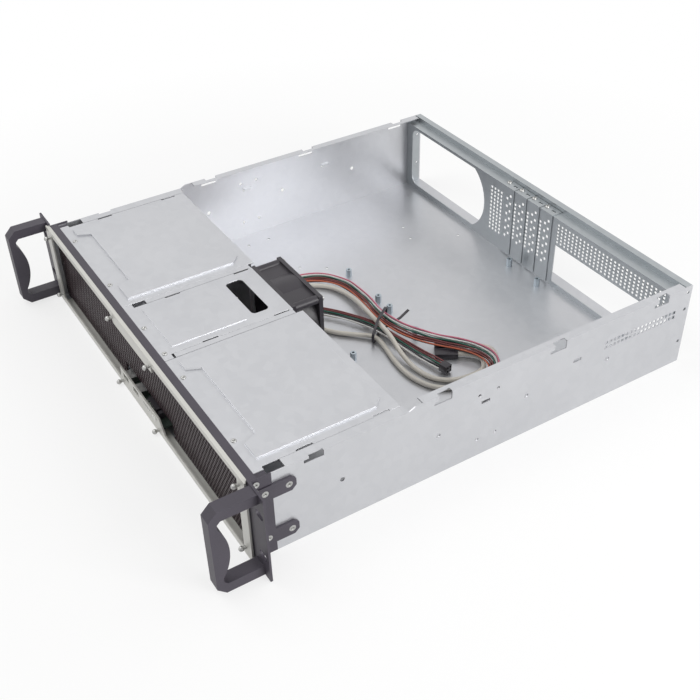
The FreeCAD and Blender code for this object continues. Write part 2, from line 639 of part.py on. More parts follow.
def make_rear_panel():
    """The recessed rear panel, folded at its top into a shelf and a rail."""
    back = "(body_deep - rear_inset)"
    rail = "(body_deep - rail_wide)"
    body = new_body("RearPanel")
    width = f"({INNER} - side_gap)"
    section = drawing(body, "YZ_Plane", "RearSection", f"-{width}")
    outline(section, [
        (back, FLOOR), (f"{back} + steel", FLOOR), (f"{back} + steel", "shelf_top - steel"),
        (f"{rail} + steel", "shelf_top - steel"), (f"{rail} + steel", ROOF),
        ("body_deep - steel", ROOF), ("body_deep - steel", "body_tall - rail_lip"),
        ("body_deep", "body_tall - rail_lip"), ("body_deep", "body_tall"), (rail, "body_tall"),
        (rail, "shelf_top"), (back, "shelf_top"),
    ])
    pad(body, section, f"2 * {width}")

    # Side flanges that the wall screws reach.
    for sign, side in (("", "Right"), ("-", "Left")):
        flange = drawing(body, "XY_Plane", f"RearFlange{side}", FLOOR)
        rectangle(flange, (f"{sign}({width} - steel)", f"{sign}{width}"), (back, "body_deep - 2"))
        pad(body, flange, "shelf_top - rail_lip - steel")
    screws = drawing(body, "YZ_Plane", "RearFlangeHoles", "0")
    for height in ("rail_row + 17.9", "rail_row - 18.8"):
        octagon(screws, "body_deep - 5", height, "wall_hole")
    pocket(body, screws)

    # Openings for the power supply and the connectors.
    psu = drawing(body, "XZ_Plane", "SupplyOpening", back)
    rectangle(psu, ("psu_left", "psu_arc_x"), ("psu_low", "psu_high"))
    pocket(body, psu, "both", THROUGH)

    def is_corner(edge):
        middle = edge.CenterOfMass
        stands = abs(edge.Length - value("steel")) < 0.001
        return stands and abs(middle.x - value("psu_left")) < 0.01 and value("psu_low") - 1 < middle.z

    round_edges(body, "SupplyCorners", "psu_corner", is_corner)
    arc = drawing(body, "XZ_Plane", "SupplyArc", back)
    centre_z = "((psu_low + psu_high) / 2)"
    half_tall = (value("psu_high") - value("psu_low")) / 2
    swing = math.asin(half_tall / value("psu_arc_radius"))
    curve = Part.ArcOfCircle(Part.Circle(Vector(0, 0, 0), Vector(0, 0, 1), value("psu_arc_radius")),
                             -swing, swing)
    arc.addGeometry(curve, False)
    arc.addGeometry(Part.LineSegment(curve.EndPoint, Vector(-1, half_tall, 0)), False)
    arc.addGeometry(Part.LineSegment(Vector(-1, half_tall, 0), Vector(-1, -half_tall, 0)), False)
    arc.addGeometry(Part.LineSegment(Vector(-1, -half_tall, 0), curve.StartPoint), False)
    for first, end, second, start in ((0, 2, 1, 1), (1, 2, 2, 1), (2, 2, 3, 1), (3, 2, 0, 1)):
        arc.addConstraint(Sketcher.Constraint("Coincident", first, end, second, start))
    arc.addConstraint(Sketcher.Constraint("Horizontal", 1))
    arc.addConstraint(Sketcher.Constraint("Horizontal", 3))
    for kind, geometry, point, formula in (
            ("DistanceX", 0, 3, "psu_arc_x"), ("DistanceY", 0, 3, centre_z),
            ("DistanceY", 0, 2, "psu_high"), ("DistanceY", 0, 1, "psu_low"),
            ("DistanceX", 2, 1, "psu_arc_x - 1"), ("DistanceX", 2, 2, "psu_arc_x - 1")):
        held = arc.addConstraint(Sketcher.Constraint(kind, -1, 1, geometry, point, 1.0))
        bind(arc, f"Constraints[{held}]", formula)
    held = arc.addConstraint(Sketcher.Constraint("Radius", 0, 1.0))
    bind(arc, f"Constraints[{held}]", "psu_arc_radius")
    pocket(body, arc, "both", THROUGH)
    connectors = drawing(body, "XZ_Plane", "ConnectorOpening", back)
    rectangle(connectors, ("io_left", "io_left + io_wide"), ("io_low", "io_low + io_tall"))
    pocket(body, connectors, "both", THROUGH)

    # In the shelf: a threaded hole and a slot for each slot cover.
    shelf = drawing(body, "XY_Plane", "ShelfHole", "shelf_top")
    octagon(shelf, "slot_first - tab_screw", f"{back} + tab_reach / 2 + 0.5", "screw_radius + screw_fit")
    rectangle(shelf, ("slot_first - 0.8", "slot_first + 4.8"), (f"{back} + 4.5", f"{back} + 7"))
    feature = pocket(body, shelf, "both", THROUGH)
    spread(body, feature, shelf, "ShelfHoles", ("slot_pitch", "4"))

    # Slot openings, the webs' single rows of holes and the two grilles.
    slot = drawing(body, "XZ_Plane", "SlotOpening", back)
    rectangle(slot, ("slot_first - slot_wide / 2", "slot_first + slot_wide / 2"), ("slot_low", "slot_high"))
    feature = pocket(body, slot, "both", THROUGH)
    spread(body, feature, slot, "SlotOpenings", ("slot_pitch", "4"))
    web_left = "slot_first + slot_pitch / 2 - grille_hole / 2"
    square = ("grille_hole", "grille_hole")
    hole_field(body, "XZ_Plane", "WebHole", back, (web_left, "web_low"), square,
               ("slot_pitch", "3"), ("grille_rise", "web_rows"), "both", THROUGH)
    hole_field(body, "XZ_Plane", "BlockHole", back, ("block_left", "block_low"), square,
               ("grille_pitch", "block_columns"), ("grille_rise", "block_rows"), "both", THROUGH)
    hole_field(body, "XZ_Plane", "ConnectorHole", back, ("io_left + 0.5", "io_grille_low"),
               ("io_grille_hole", "io_grille_hole"), ("grille_pitch", "io_grille_columns"),
               ("io_grille_rise", "io_grille_rows"), "both", THROUGH)
    return node(body, "rear_panel")


def make_slot_covers():
    """Four perforated slot covers, each with a tab that lies on the shelf, and their screws."""
    back = "(body_deep - rear_inset)"
    screws = []
    for number in range(4):
        middle = f"(slot_first + {number} * slot_pitch)"
        body = new_body(f"SlotCover{number + 1}")
        section = drawing(body, "XZ_Plane", f"CoverFace{number + 1}", f"{back} - cover_thick")
        rectangle(section, (f"{middle} - cover_wide / 2", f"{middle} + cover_wide / 2"),
                  ("cover_low", "shelf_top + cover_thick"))
        pad(body, section, "cover_thick")
        tab = drawing(body, "XY_Plane", f"CoverTab{number + 1}", "shelf_top")
        rectangle(tab, (f"{middle} - tab_screw - 2.8", f"{middle} + cover_wide / 2"),
                  (f"{back} - cover_thick", f"{back} + tab_reach"))
        pad(body, tab, "cover_thick")
        holes = drawing(body, "XY_Plane", f"CoverTabHoles{number + 1}", "shelf_top")
        octagon(holes, f"{middle} - tab_screw", f"{back} + tab_reach / 2 + 0.5", "screw_radius + screw_fit")
        rectangle(holes, (f"{middle} - 0.8", f"{middle} + 4.8"), (f"{back} + 4.5", f"{back} + 7"))
        pocket(body, holes, "high")
        for column, start in (("Left", "0"), ("Right", "grille_rise")):
            offset = "-2.5" if column == "Left" else "2.5"
            sketch = drawing(body, "XZ_Plane", f"Cover{column}Hole{number + 1}", back)
            corner = f"{middle} + {offset} - grille_hole / 2"
            low = f"web_low - grille_rise / 2 + {start}"
            rectangle(sketch, (corner, f"{corner} + grille_hole"), (low, f"{low} + grille_hole"))
            feature = pocket(body, sketch)
            spread(body, feature, sketch, f"Cover{column}Holes{number + 1}", None,
                   ("2 * grille_rise", "cover_hole_rows"))
        node(body, f"slot_cover_{number + 1}")
        screw_y = f"{back} + tab_reach / 2 + 0.5"
        shank = peg(f"CoverScrewShank{number + 1}", "z", f"{middle} - tab_screw", screw_y,
                    "shelf_top - 2.5", "screw_radius", "2.5 + cover_thick")
        head = peg(f"CoverScrewHead{number + 1}", "z", f"{middle} - tab_screw", screw_y,
                   "shelf_top + cover_thick", "head_radius", "head_tall")
        screws.append(fuse(f"CoverScrew{number + 1}", [shank, head]))
    node(group("SlotCoverScrews", screws), "slot_cover_screws")


def make_bay_cover(side, inner, outer, sign):
    """An outer bay cover: a flat sheet with a pressed panel, a turned-down rear edge and tongues."""
    body = new_body(f"BayCover{side}")
    front = "(bar_rear + seam)"
    outward = f"{sign}1 *"
    face = drawing(body, "XY_Plane", f"BayFace{side}", RIM_UNDER)
    outline(face, [
        (inner, front), (f"{outer} + {outward} cover_ear", front),
        (f"{outer} + {outward} cover_ear", "strip_rear"), (outer, "strip_rear"),
        (outer, "bay_rear"), (inner, "bay_rear"),
    ])
    pad(body, face, "steel")
    lip = drawing(body, "XZ_Plane", f"BayLip{side}", "bay_rear - steel")
    rectangle(lip, (f"{inner} + {outward} divider_flange", f"{outer} - {outward} side_slot_wide"),
              (f"{RIM_UNDER} - cover_lip", RIM_UNDER))
    pad(body, lip, "steel")
    # The pressed panel keeps clear of the screw strip, around a low bay behind its two screws.
    panel = drawing(body, "XY_Plane", f"BayPanel{side}", "rim_tall")
    screws = "left_screws_x" if sign else "right_screws_x"
    wide = f"{outward} (bay_low_half + bay_low_flare)"
    deep = f"{outward} bay_low_half"
    rim = f"{outward} emboss_edge"
    corner = f"{outward} 2 * emboss_edge"
    outline(panel, [
        (f"{inner} + {rim}", "emboss_front"), (f"{screws} - {wide}", "emboss_front"),
        (f"{screws} - {deep}", "bay_low_rear"), (f"{screws} + {deep}", "bay_low_rear"),
        (f"{screws} + {wide}", "emboss_front"), (f"{outer} - {rim}", "emboss_front"),
        (f"{outer} - {rim}", "bay_rear - 2 * emboss_edge"), (f"{outer} - {corner}", "bay_rear - emboss_edge"),
        (f"{inner} + {corner}", "bay_rear - emboss_edge"), (f"{inner} + {rim}", "bay_rear - 2 * emboss_edge"),
    ])
    pad(body, panel, "emboss")
    hollow = drawing(body, "XY_Plane", f"BayHollow{side}", RIM_UNDER)
    rectangle(hollow, (f"{inner} + {corner}", f"{outer} - {corner}"),
              ("bay_low_rear + 2 * steel", "bay_rear - 2 * emboss_edge"))
    pocket(body, hollow, "high", "emboss")
    # Thin slots along the wall side, and tongues that pass under the wall's flange.
    for number in range(2):
        start = f"(side_slot_front + {number} * side_slot_pitch)"
        slot = drawing(body, "XY_Plane", f"BaySlot{side}{number}", RIM_UNDER)
        rectangle(slot, (f"{outer} - {outward} side_slot_wide", f"{outer} + {outward} 1"),
                  (start, f"{start} + side_slot_long"))
        pocket(body, slot)
        tongue = drawing(body, "XY_Plane", f"BayTongue{side}{number}", f"{RIM_UNDER} - steel")
        first = f"{start} + side_slot_long + side_slot_wide"
        rectangle(tongue, (f"{outer} - {outward} tongue_reach", f"{outer} + {outward} tongue_reach"),
                  (first, f"{first} + tongue_long"))
        pad(body, tongue, "steel")
    holes = drawing(body, "XY_Plane", f"BayHoles{side}", RIM_UNDER)
    for step in ("-", "+"):
        octagon(holes, f"{screws} {step} cover_screw_half", "cover_screw_y", "screw_radius + screw_fit")
    pocket(body, holes)
    node(body, f"bay_cover_{side.lower()}")


DIVIDERS = (("left", "divider_left_x", "divider_left_front"),
            ("right", "divider_right_x", "divider_right_front"))


def make_bay_covers():
    """Three covers over the drive bays and the screws along their front edge."""
    make_bay_cover("Left", "(divider_left_x - seam)", f"(seam - {RIM_IN})", "-")
    make_bay_cover("Right", "(divider_right_x + divider_flange + seam)", f"({RIM_IN} - seam)", "")
    left = "(divider_left_x + divider_flange + seam)"
    right = "(divider_right_x - seam)"
    body = new_body("BayCoverCentre")
    face = drawing(body, "XY_Plane", "CentreFace", RIM_UNDER)
    outline(face, [
        ("divider_left_x", "bar_rear + seam"), ("divider_right_x + divider_flange", "bar_rear + seam"),
        ("divider_right_x + divider_flange", "strip_rear"), (right, "strip_rear"), (right, "centre_rear"),
        (left, "centre_rear"), (left, "strip_rear"), ("divider_left_x", "strip_rear"),
    ])
    pad(body, face, "steel")
    window = drawing(body, "XY_Plane", "CentreWindow", RIM_UNDER)
    rectangle(window, ("window_left", "window_left + window_wide"),
              ("window_front", "window_front + window_deep"))
    pocket(body, window)

    def is_window_corner(edge):
        middle = edge.CenterOfMass
        upright = abs(edge.Length - value("steel")) < 0.001
        return upright and value("window_front") - 0.5 < middle.y < value("centre_rear") - 5

    round_edges(body, "WindowCorners", "window_corner", is_window_corner)
    holes = drawing(body, "XY_Plane", "CentreHoles", RIM_UNDER)
    for across in COVER_SCREWS[4:]:
        octagon(holes, across, "cover_screw_y", "screw_radius + screw_fit")
    for number in range(2):
        start = f"(side_slot_front + {number} * side_slot_pitch)"
        for edges in ((f"{left} - 1", f"{left} + side_slot_wide * 3 / 4"),
                      (f"{right} - side_slot_wide * 3 / 4", f"{right} + 1")):
            rectangle(holes, edges, (start, f"{start} + side_slot_long"))
    pocket(body, holes)
    raised = drawing(body, "XY_Plane", "CentreRaised", "rim_tall")
    rectangle(raised, (f"{left} + emboss_edge", f"{right} - emboss_edge"),
              ("emboss_front + 4", "window_front - emboss_edge"))
    pad(body, raised, "emboss / 2")
    node(body, "bay_cover_centre")
    screws = []
    for number, across in enumerate(COVER_SCREWS):
        shank = peg(f"BayScrewShank{number}", "z", across, "cover_screw_y", f"{RIM_UNDER} - steel",
                    "screw_radius", "2 * steel")
        head = peg(f"BayScrewHead{number}", "z", across, "cover_screw_y", "rim_tall",
                   "flat_head_radius", "flat_head_tall")
        screws.append(fuse(f"BayScrew{number}", [shank, head]))
    node(group("BayScrews", screws), "bay_cover_screws")


def make_dividers():
    """Two Z-shaped walls between the bays, with a top flange and a foot on the floor."""
    for name, left, front in DIVIDERS:
        body = new_body(f"Divider_{name}")
        section = drawing(body, "XZ_Plane", f"DividerSection_{name}", front)
        outline(section, [
            (left, FLOOR), (f"{left} + divider_foot", FLOOR), (f"{left} + divider_foot", f"{FLOOR} + steel"),
            (f"{left} + steel", f"{FLOOR} + steel"), (f"{left} + steel", RIM_UNDER),
            (f"{left} + divider_flange", RIM_UNDER), (f"{left} + divider_flange", "rim_tall"),
            (left, "rim_tall"),
        ])
        pad(body, section, f"centre_rear - steel - seam - {front}")
        hole = drawing(body, "YZ_Plane", f"DividerPass_{name}", left)
        rectangle(hole, ("pass_front", "pass_front + pass_long"), ("pass_low", "pass_low + pass_tall"))
        pocket(body, hole, "high")
        node(body, f"bay_divider_{name}")


def make_front_bar():
    """The black bar across the front: a top web, a ledge under the covers and two side returns."""
    web_under = "(bar_top - bar_steel)"
    start = "(frame_front + frame_thick + bar_gap)"
    width = (f"-({INNER} - seam)", f"{INNER} - seam")
    plates = [
        block("BarWeb", (f"-({HALF})", HALF), (start, "bar_rear"), (web_under, "bar_top")),
        block("BarLeg", width, (start, f"{start} + bar_steel"), (f"{web_under} - bar_drop", web_under)),
        block("BarStep", width, ("bar_rear - bar_steel", "bar_rear"), (f"{RIM_UNDER} - steel", web_under)),
        block("BarLedge", width, ("bar_rear - bar_steel", "strip_rear"), (f"{RIM_UNDER} - steel", RIM_UNDER)),
    ]
    holes = []
    for sign, side in SIDES:
        edges = (f"{sign}({HALF})", f"{sign}({HALF} + bar_steel)")
        low, high = edges[::-1] if sign else edges
        plates.append(block(f"BarReturn{side}", (low, high), ("ear_thick + seam", "bar_return"),
                            ("bar_return_low", "bar_top")))
        holes.append(peg(f"BarSideHole{side}", "x", f"{low} - 1", "bar_return_screw_y",
                         "bar_return_screw_z", "screw_radius + screw_fit", "bar_steel + 2"))
    for number, across in enumerate(COVER_SCREWS):
        holes.append(peg(f"BarHole{number}", "z", across, "cover_screw_y", f"{RIM_UNDER} - 2 * steel",
                         "screw_radius + screw_fit", "3 * steel"))
    node(cut("FrontBar", fuse("BarBlank", plates), holes), "front_top_bar")


def make_front_frame():
    """The silver front frame: a ring with a stud tab under its top and a control panel on its foot."""
    body = new_body("FrontFrame")
    back = "(frame_front + frame_thick)"
    half = "(frame_wide / 2)"
    ring = drawing(body, "XZ_Plane", "FrameRing", "frame_front")
    rectangle(ring, (f"-{half}", half), ("0", "body_tall"))
    tab = "(stud_tab_wide / 2)"
    outline(ring, [
        (f"-{half} + frame_post", "frame_low"), ("panel_left - 2", "frame_low"),
        ("panel_left", "panel_tall"), ("panel_right - 10", "panel_tall"), ("panel_right", "frame_low"),
        (f"{half} - frame_post", "frame_low"), (f"{half} - frame_post", "body_tall - frame_high"),
        (f"{tab} - 1", "body_tall - frame_high"), (f"{tab} - 1", "body_tall - frame_high - stud_tab_tall"),
        (f"-{tab} + 6", "body_tall - frame_high - stud_tab_tall"),
        (f"-{tab} - 1", "body_tall - frame_high"), (f"-{half} + frame_post", "body_tall - frame_high"),
    ])
    pad(body, ring, "frame_thick")
    top = drawing(body, "XY_Plane", "FrameTop", "body_tall - frame_thick")
    rectangle(top, (f"-{HALF}", HALF), (back, f"{back} + bar_gap"))
    pad(body, top, "frame_thick")
    sill = drawing(body, "XY_Plane", "FrameSill", f"{FLOOR}")
    rectangle(sill, (f"-{half} + frame_post", f"{half} - frame_post"), (back, "mesh_front"))
    pad(body, sill, "frame_thick")
    holes = drawing(body, "XZ_Plane", "PanelHoles", back)
    for middle in ("port_left_x", "port_right_x"):
        rectangle(holes, (f"{middle} - port_wide / 2 + port_wall", f"{middle} + port_wide / 2 - port_wall"),
                  ("control_row - port_tall / 2 + port_wall", "control_row + port_tall / 2 - port_wall"))
    octagon(holes, "power_x", "control_row", "power_radius + button_fit", "power_long")
    pocket(body, holes, "both", "frame_thick * 3")
    small = [(across, up, "stud_radius") for across, up in STUDS]
    small += [(f"lamp_first + {step} * lamp_pitch", "control_row", "lamp_radius + screw_fit")
              for step in range(int(value("lamp_count")))]
    small.append(("reset_x", "control_row", "reset_radius + button_fit"))
    tools = [peg(f"FrameHole{number}", "y", across, "frame_front - 1", up, radius, "frame_thick + 2")
             for number, (across, up, radius) in enumerate(small)]
    node(cut("FrontFrameDrilled", body, tools), "front_frame")


def oval_outline(item, across, up, long, radius):
    """A slot shape lying along the sketch's first axis, held by its middle, length and end radius."""
    right = item.addGeometry(Part.ArcOfCircle(Part.Circle(Vector(3, 0, 0), Vector(0, 0, 1), 1),
                                              -math.pi / 2, math.pi / 2), False)
    left = item.addGeometry(Part.ArcOfCircle(Part.Circle(Vector(-3, 0, 0), Vector(0, 0, 1), 1),
                                             math.pi / 2, 3 * math.pi / 2), False)
    top = item.addGeometry(Part.LineSegment(Vector(3, 1, 0), Vector(-3, 1, 0)), False)
    low = item.addGeometry(Part.LineSegment(Vector(-3, -1, 0), Vector(3, -1, 0)), False)
    for first, end, second, start in ((right, 2, top, 1), (top, 2, left, 1), (left, 2, low, 1),
                                      (low, 2, right, 1)):
        item.addConstraint(Sketcher.Constraint("Coincident", first, end, second, start))
    for arc in (right, left):
        item.addConstraint(Sketcher.Constraint("Vertical", arc, 3, arc, 1))
        item.addConstraint(Sketcher.Constraint("Vertical", arc, 3, arc, 2))
    item.addConstraint(Sketcher.Constraint("Equal", right, left))
    for kind, geometry, formula in (
            ("DistanceX", right, f"{across} + ({long}) / 2"), ("DistanceY", right, up),
            ("DistanceX", left, f"{across} - ({long}) / 2"), ("DistanceY", left, up)):
        held = item.addConstraint(Sketcher.Constraint(kind, -1, 1, geometry, 3, 1.0))
        bind(item, f"Constraints[{held}]", formula)
    held = item.addConstraint(Sketcher.Constraint("Radius", right, 1.0))
    bind(item, f"Constraints[{held}]", radius)


STUDS = (
    ("-(frame_wide / 2 - 10)", "body_tall - 9"), ("frame_wide / 2 - 10", "body_tall - 9"),
    ("-(frame_wide / 2 - 10)", "9"), ("frame_wide / 2 - 10", "9"),
    ("-(stud_tab_wide / 2 - 4)", "body_tall - 7.5"), ("stud_tab_wide / 2 - 4", "body_tall - 7.5"),
    ("panel_left + 1", "3.2"), ("panel_right - 14", "3.2"),
)


def make_studs():
    """Studs on the frame's front, where a bezel would clip on: a neck, a thin stem and a thick head."""
    studs = []
    for number, (across, up) in enumerate(STUDS):
        neck = peg(f"StudNeck{number}", "y", across, "frame_front", up, "stud_radius", "frame_thick")
        stem = peg(f"StudStem{number}", "y", across, "frame_front - stud_reach", up, "stud_radius * 0.8",
                   "stud_reach")
        head = peg(f"StudHead{number}", "y", across, "frame_front - stud_reach - stud_ball", up, "stud_ball",
                   "1.6 * stud_ball")
        studs.append(fuse(f"Stud{number}", [neck, stem, head]))
    node(group("BezelStuds", studs), "bezel_studs")


def make_front_mesh():
    """The dark mesh behind the front frame, with a notch for the control board."""
    body = new_body("FrontMesh")
    face = drawing(body, "XZ_Plane", "MeshFace", "mesh_front")
    notch = ("(panel_left - mesh_notch)", "(panel_right + mesh_notch)")
    outline(face, [
        (f"-{INNER}", FLOOR), (notch[0], FLOOR), (notch[0], "panel_tall + mesh_notch"),
        (notch[1], "panel_tall + mesh_notch"), (notch[1], FLOOR), (INNER, FLOOR),
        (INNER, "mesh_high"), (f"-{INNER}", "mesh_high"),
    ])
    pad(body, face, "mesh_thick")
    left = "(-mesh_pitch * mesh_columns / 2 + (mesh_pitch - mesh_slot_long) / 2)"
    hole_field(body, "XZ_Plane", "MeshSlot", "mesh_front", (left, "mesh_low"), ("mesh_slot_long", "mesh_slot"),
               ("mesh_pitch", "mesh_columns"), ("mesh_rise", "mesh_rows"))
    for name, start in (("Left", f"({notch[0]} - mesh_side_pitch * mesh_side_columns)"),
                        ("Right", f"({notch[1]} + mesh_side_pitch - mesh_side_long)")):
        hole_field(body, "XZ_Plane", f"MeshSlot{name}", "mesh_front", (start, "mesh_side_low"),
                   ("mesh_side_long", "mesh_slot"), ("mesh_side_pitch", "mesh_side_columns"),
                   ("mesh_rise", "mesh_side_rows"))
    node(body, "front_mesh")


def make_control_board():
    """The board behind the control panel, with its ports, lamps, switches and buttons."""
    front = "(frame_front + frame_thick)"
    top = "(board_low + board_thick)"
    board = block("Board", ("panel_left + 4", "panel_right - 6"), (f"{front} + 0.5", "board_deep"),
                  ("board_low", top))
    node(group("BoardPlate", [board]), "control_board")
    posts = []
    for number, across in enumerate(("panel_left + 8", "panel_right - 10")):
        posts.append(peg(f"BoardPost{number}", "z", across, "board_deep - 4", FLOOR, "2.5",
                         "board_low - steel"))
    node(group("BoardPosts", posts), "control_board_posts")
    ports = []
    for number, middle in enumerate(("port_left_x", "port_right_x")):
        low = "(control_row - port_tall / 2)"
        shell = block(f"PortShell{number}", (f"{middle} - port_wide / 2", f"{middle} + port_wide / 2"),
                      (front, f"{front} + port_long"), (top, f"{low} + port_tall"))
        mouth = block(f"PortMouth{number}",
                      (f"{middle} - port_wide / 2 + port_wall", f"{middle} + port_wide / 2 - port_wall"),
                      (f"{front} - 1", f"{front} + port_long - 2"),
                      (f"{low} + port_wall", f"{low} + port_tall - port_wall"))
        tongue = block(f"PortTongue{number}", (f"{middle} - 5.5", f"{middle} + 5.5"),
                       (f"{front} + 1", f"{front} + port_long - 1"),
                       ("control_row + 0.4", "control_row + 1.9"))
        ports.append(fuse(f"Port{number}", [cut(f"PortHollow{number}", shell, [mouth]), tongue]))
    node(group("DataPorts", ports), "data_ports")
    holder = block("LampHolder", ("lamp_first - 1.9", "lamp_first + (lamp_count - 1) * lamp_pitch + 1.9"),
                   (f"{front} + 3", f"{front} + 8"), (top, "control_row + 2.2"))
    lamps = []
    for step in range(int(value("lamp_count"))):
        lamps.append(peg(f"Lamp{step}", "y", f"lamp_first + {step} * lamp_pitch", "frame_front - 0.1",
                         "control_row", "lamp_radius", "frame_thick + 3.1"))
    node(group("StatusLamps", lamps), "status_lamps")
    node(group("LampCarrier", [holder]), "lamp_holder")
    switches = []
    for number, middle in enumerate(("reset_x", "power_x")):
        case = block(f"SwitchCase{number}", (f"{middle} - 2.1", f"{middle} + 2.1"),
                     ("switch_front", "switch_front + 4"), (top, "control_row + 3"))
        dome = peg(f"SwitchDome{number}", "y", middle, "switch_front - 1", "control_row", "1.7", "1")
        switches.append(fuse(f"Switch{number}", [case, dome]))
    node(group("PanelSwitches", switches), "panel_switches")
    body = new_body("PowerButton")
    cap = drawing(body, "XZ_Plane", "PowerCap", "frame_front - button_proud")
    octagon(cap, "power_x", "control_row", "power_radius", "power_long")
    pad(body, cap, "button_proud + frame_thick + button_fit")
    collar = drawing(body, "XZ_Plane", "PowerCollar", f"{front} + button_fit")
    octagon(collar, "power_x", "control_row", "power_radius + button_collar", "power_long")
    pad(body, collar, "button_collar")
    node(body, "power_button")
    tip = peg("ResetCap", "y", "reset_x", "frame_front - button_proud / 2", "control_row", "reset_radius",
              "button_proud / 2 + frame_thick + button_fit")
    brim = peg("ResetCollar", "y", "reset_x", f"{front} + button_fit", "control_row",
               "reset_radius + button_collar", "button_collar")
    node(fuse("ResetButton", [tip, brim]), "reset_button")


def make_ear_bracket(side):
    """An angle bracket: a slotted flange at the front and a side plate with two arms."""
    body = new_body(f"EarBracket{side}")
    flange = drawing(body, "XZ_Plane", f"EarFace{side}", "0")
    rectangle(flange, (HALF, "ear_span / 2"), ("ear_low", "ear_high"))
    pad(body, flange, "ear_thick")
    plate = drawing(body, "YZ_Plane", f"EarSide{side}", HALF)
    arm = "lobe_deep - lobe_corner"
    outline(plate, [
        ("0", "strip_low"), ("strip_deep", "strip_low"), ("strip_deep", "lobe_low"), (arm, "lobe_low"),
        ("lobe_deep", "lobe_low + lobe_corner"), ("lobe_deep", "lobe_low + lobe_tall - lobe_corner"),
        (arm, "lobe_low + lobe_tall"), ("strip_deep", "lobe_low + lobe_tall"),
        ("strip_deep", "lobe_high - lobe_tall"), (arm, "lobe_high - lobe_tall"),
        ("lobe_deep", "lobe_high - lobe_tall + lobe_corner"), ("lobe_deep", "lobe_high - lobe_corner"),
        (arm, "lobe_high"), ("0", "strip_high"),
    ])
    pad(body, plate, "ear_thick")
    slots = drawing(body, "XZ_Plane", f"EarSlots{side}", "ear_thick")
    for up in ("slot_row_low", "slot_row_low + slot_rise"):
        oval_outline(slots, "slot_span / 2", up, "slot_long", "slot_radius")
    pocket(body, slots, "both", "ear_thick * 3")
    tools = [peg(f"HandleHole{side}{number}", "y", HANDLE_MIDDLE, "-1", up, "screw_radius + screw_fit",
                 "ear_thick + 2")
             for number, up in enumerate(HANDLE_SCREWS)]
    for number, (back, up) in enumerate(EAR_SCREWS[1:]):
        tools.append(peg(f"EarHole{side}{number}", "x", f"{HALF} - 1", back, up, "screw_radius + screw_fit",
                         "ear_thick + 2"))
        tools.append(peg(f"EarSink{side}{number}", "x", f"{HALF} + ear_thick - ear_screw_sink", back, up,
                         "ear_screw_head + screw_fit", "ear_screw_sink + 1"))
    item = cut(f"Ear{side}", body, tools)
    if side == "Left":
        item = mirrored("EarLeftImage", item)
    node(item, f"ear_bracket_{side.lower()}")


HANDLE_MIDDLE = "(handle_inner_x + handle_wide / 2)"
HANDLE_SCREWS = ("handle_low + handle_leg / 2", "handle_high - handle_leg / 2")
EAR_SCREWS = (
    ("bar_return_screw_y", "bar_return_screw_z"),
    ("ear_screw_y", "lobe_high - 7"), ("lobe_deep - ear_screw_inset", "lobe_high - 7.5"),
    ("ear_screw_y", "lobe_low + 7"), ("lobe_deep - ear_screw_inset", "lobe_low + 6.5"),
)


def make_handle(side):
    """A bar handle with cut corners and a grip that swells inward."""
    body = new_body(f"Handle{side}")
    profile = drawing(body, "YZ_Plane", f"HandleProfile{side}", "handle_inner_x")
    outline(profile, [
        ("0", "handle_low"), ("0", "handle_low + handle_leg"),
        ("-handle_reach + handle_grip + 3", "handle_low + handle_leg"),
        ("-handle_reach + handle_grip", "handle_low + handle_leg + 3"),
        ("-handle_reach + handle_grip", "handle_high - handle_leg - 3"),
        ("-handle_reach + handle_grip + 3", "handle_high - handle_leg"),
        ("0", "handle_high - handle_leg"), ("0", "handle_high"),
        ("-handle_reach + handle_corner", "handle_high"), ("-handle_reach", "handle_high - handle_corner"),
        ("-handle_reach", "handle_low + handle_corner"), ("-handle_reach + handle_corner", "handle_low"),
    ])
    pad(body, profile, "handle_wide")
    radius = "((grip_half * grip_half + grip_bulge * grip_bulge) / (2 * grip_bulge))"
    middle_z = "((handle_low + handle_high) / 2)"
    disc = rod(f"GripDisc{side}", "x", "handle_inner_x",
               f"-handle_reach + handle_grip + grip_bulge - {radius}", middle_z, radius, "handle_wide")
    limit = block(f"GripLimit{side}", ("handle_inner_x", "handle_inner_x + handle_wide"),
                  ("-handle_reach + handle_grip / 2", "-handle_reach + handle_grip + grip_bulge + 1"),
                  (f"{middle_z} - grip_half", f"{middle_z} + grip_half"))
    swell = common(f"GripSwell{side}", disc, limit)
    holes = []
    for number, up in enumerate(HANDLE_SCREWS):
        holes.append(peg(f"HandleBore{side}{number}", "y", HANDLE_MIDDLE, "-8", up,
                         "screw_radius + screw_fit", "9"))
    item = cut(f"HandleBored{side}", fuse(f"HandleWhole{side}", [body, swell]), holes)
    if side == "Left":
        item = mirrored("HandleLeftImage", item)
    node(item, f"handle_{side.lower()}")


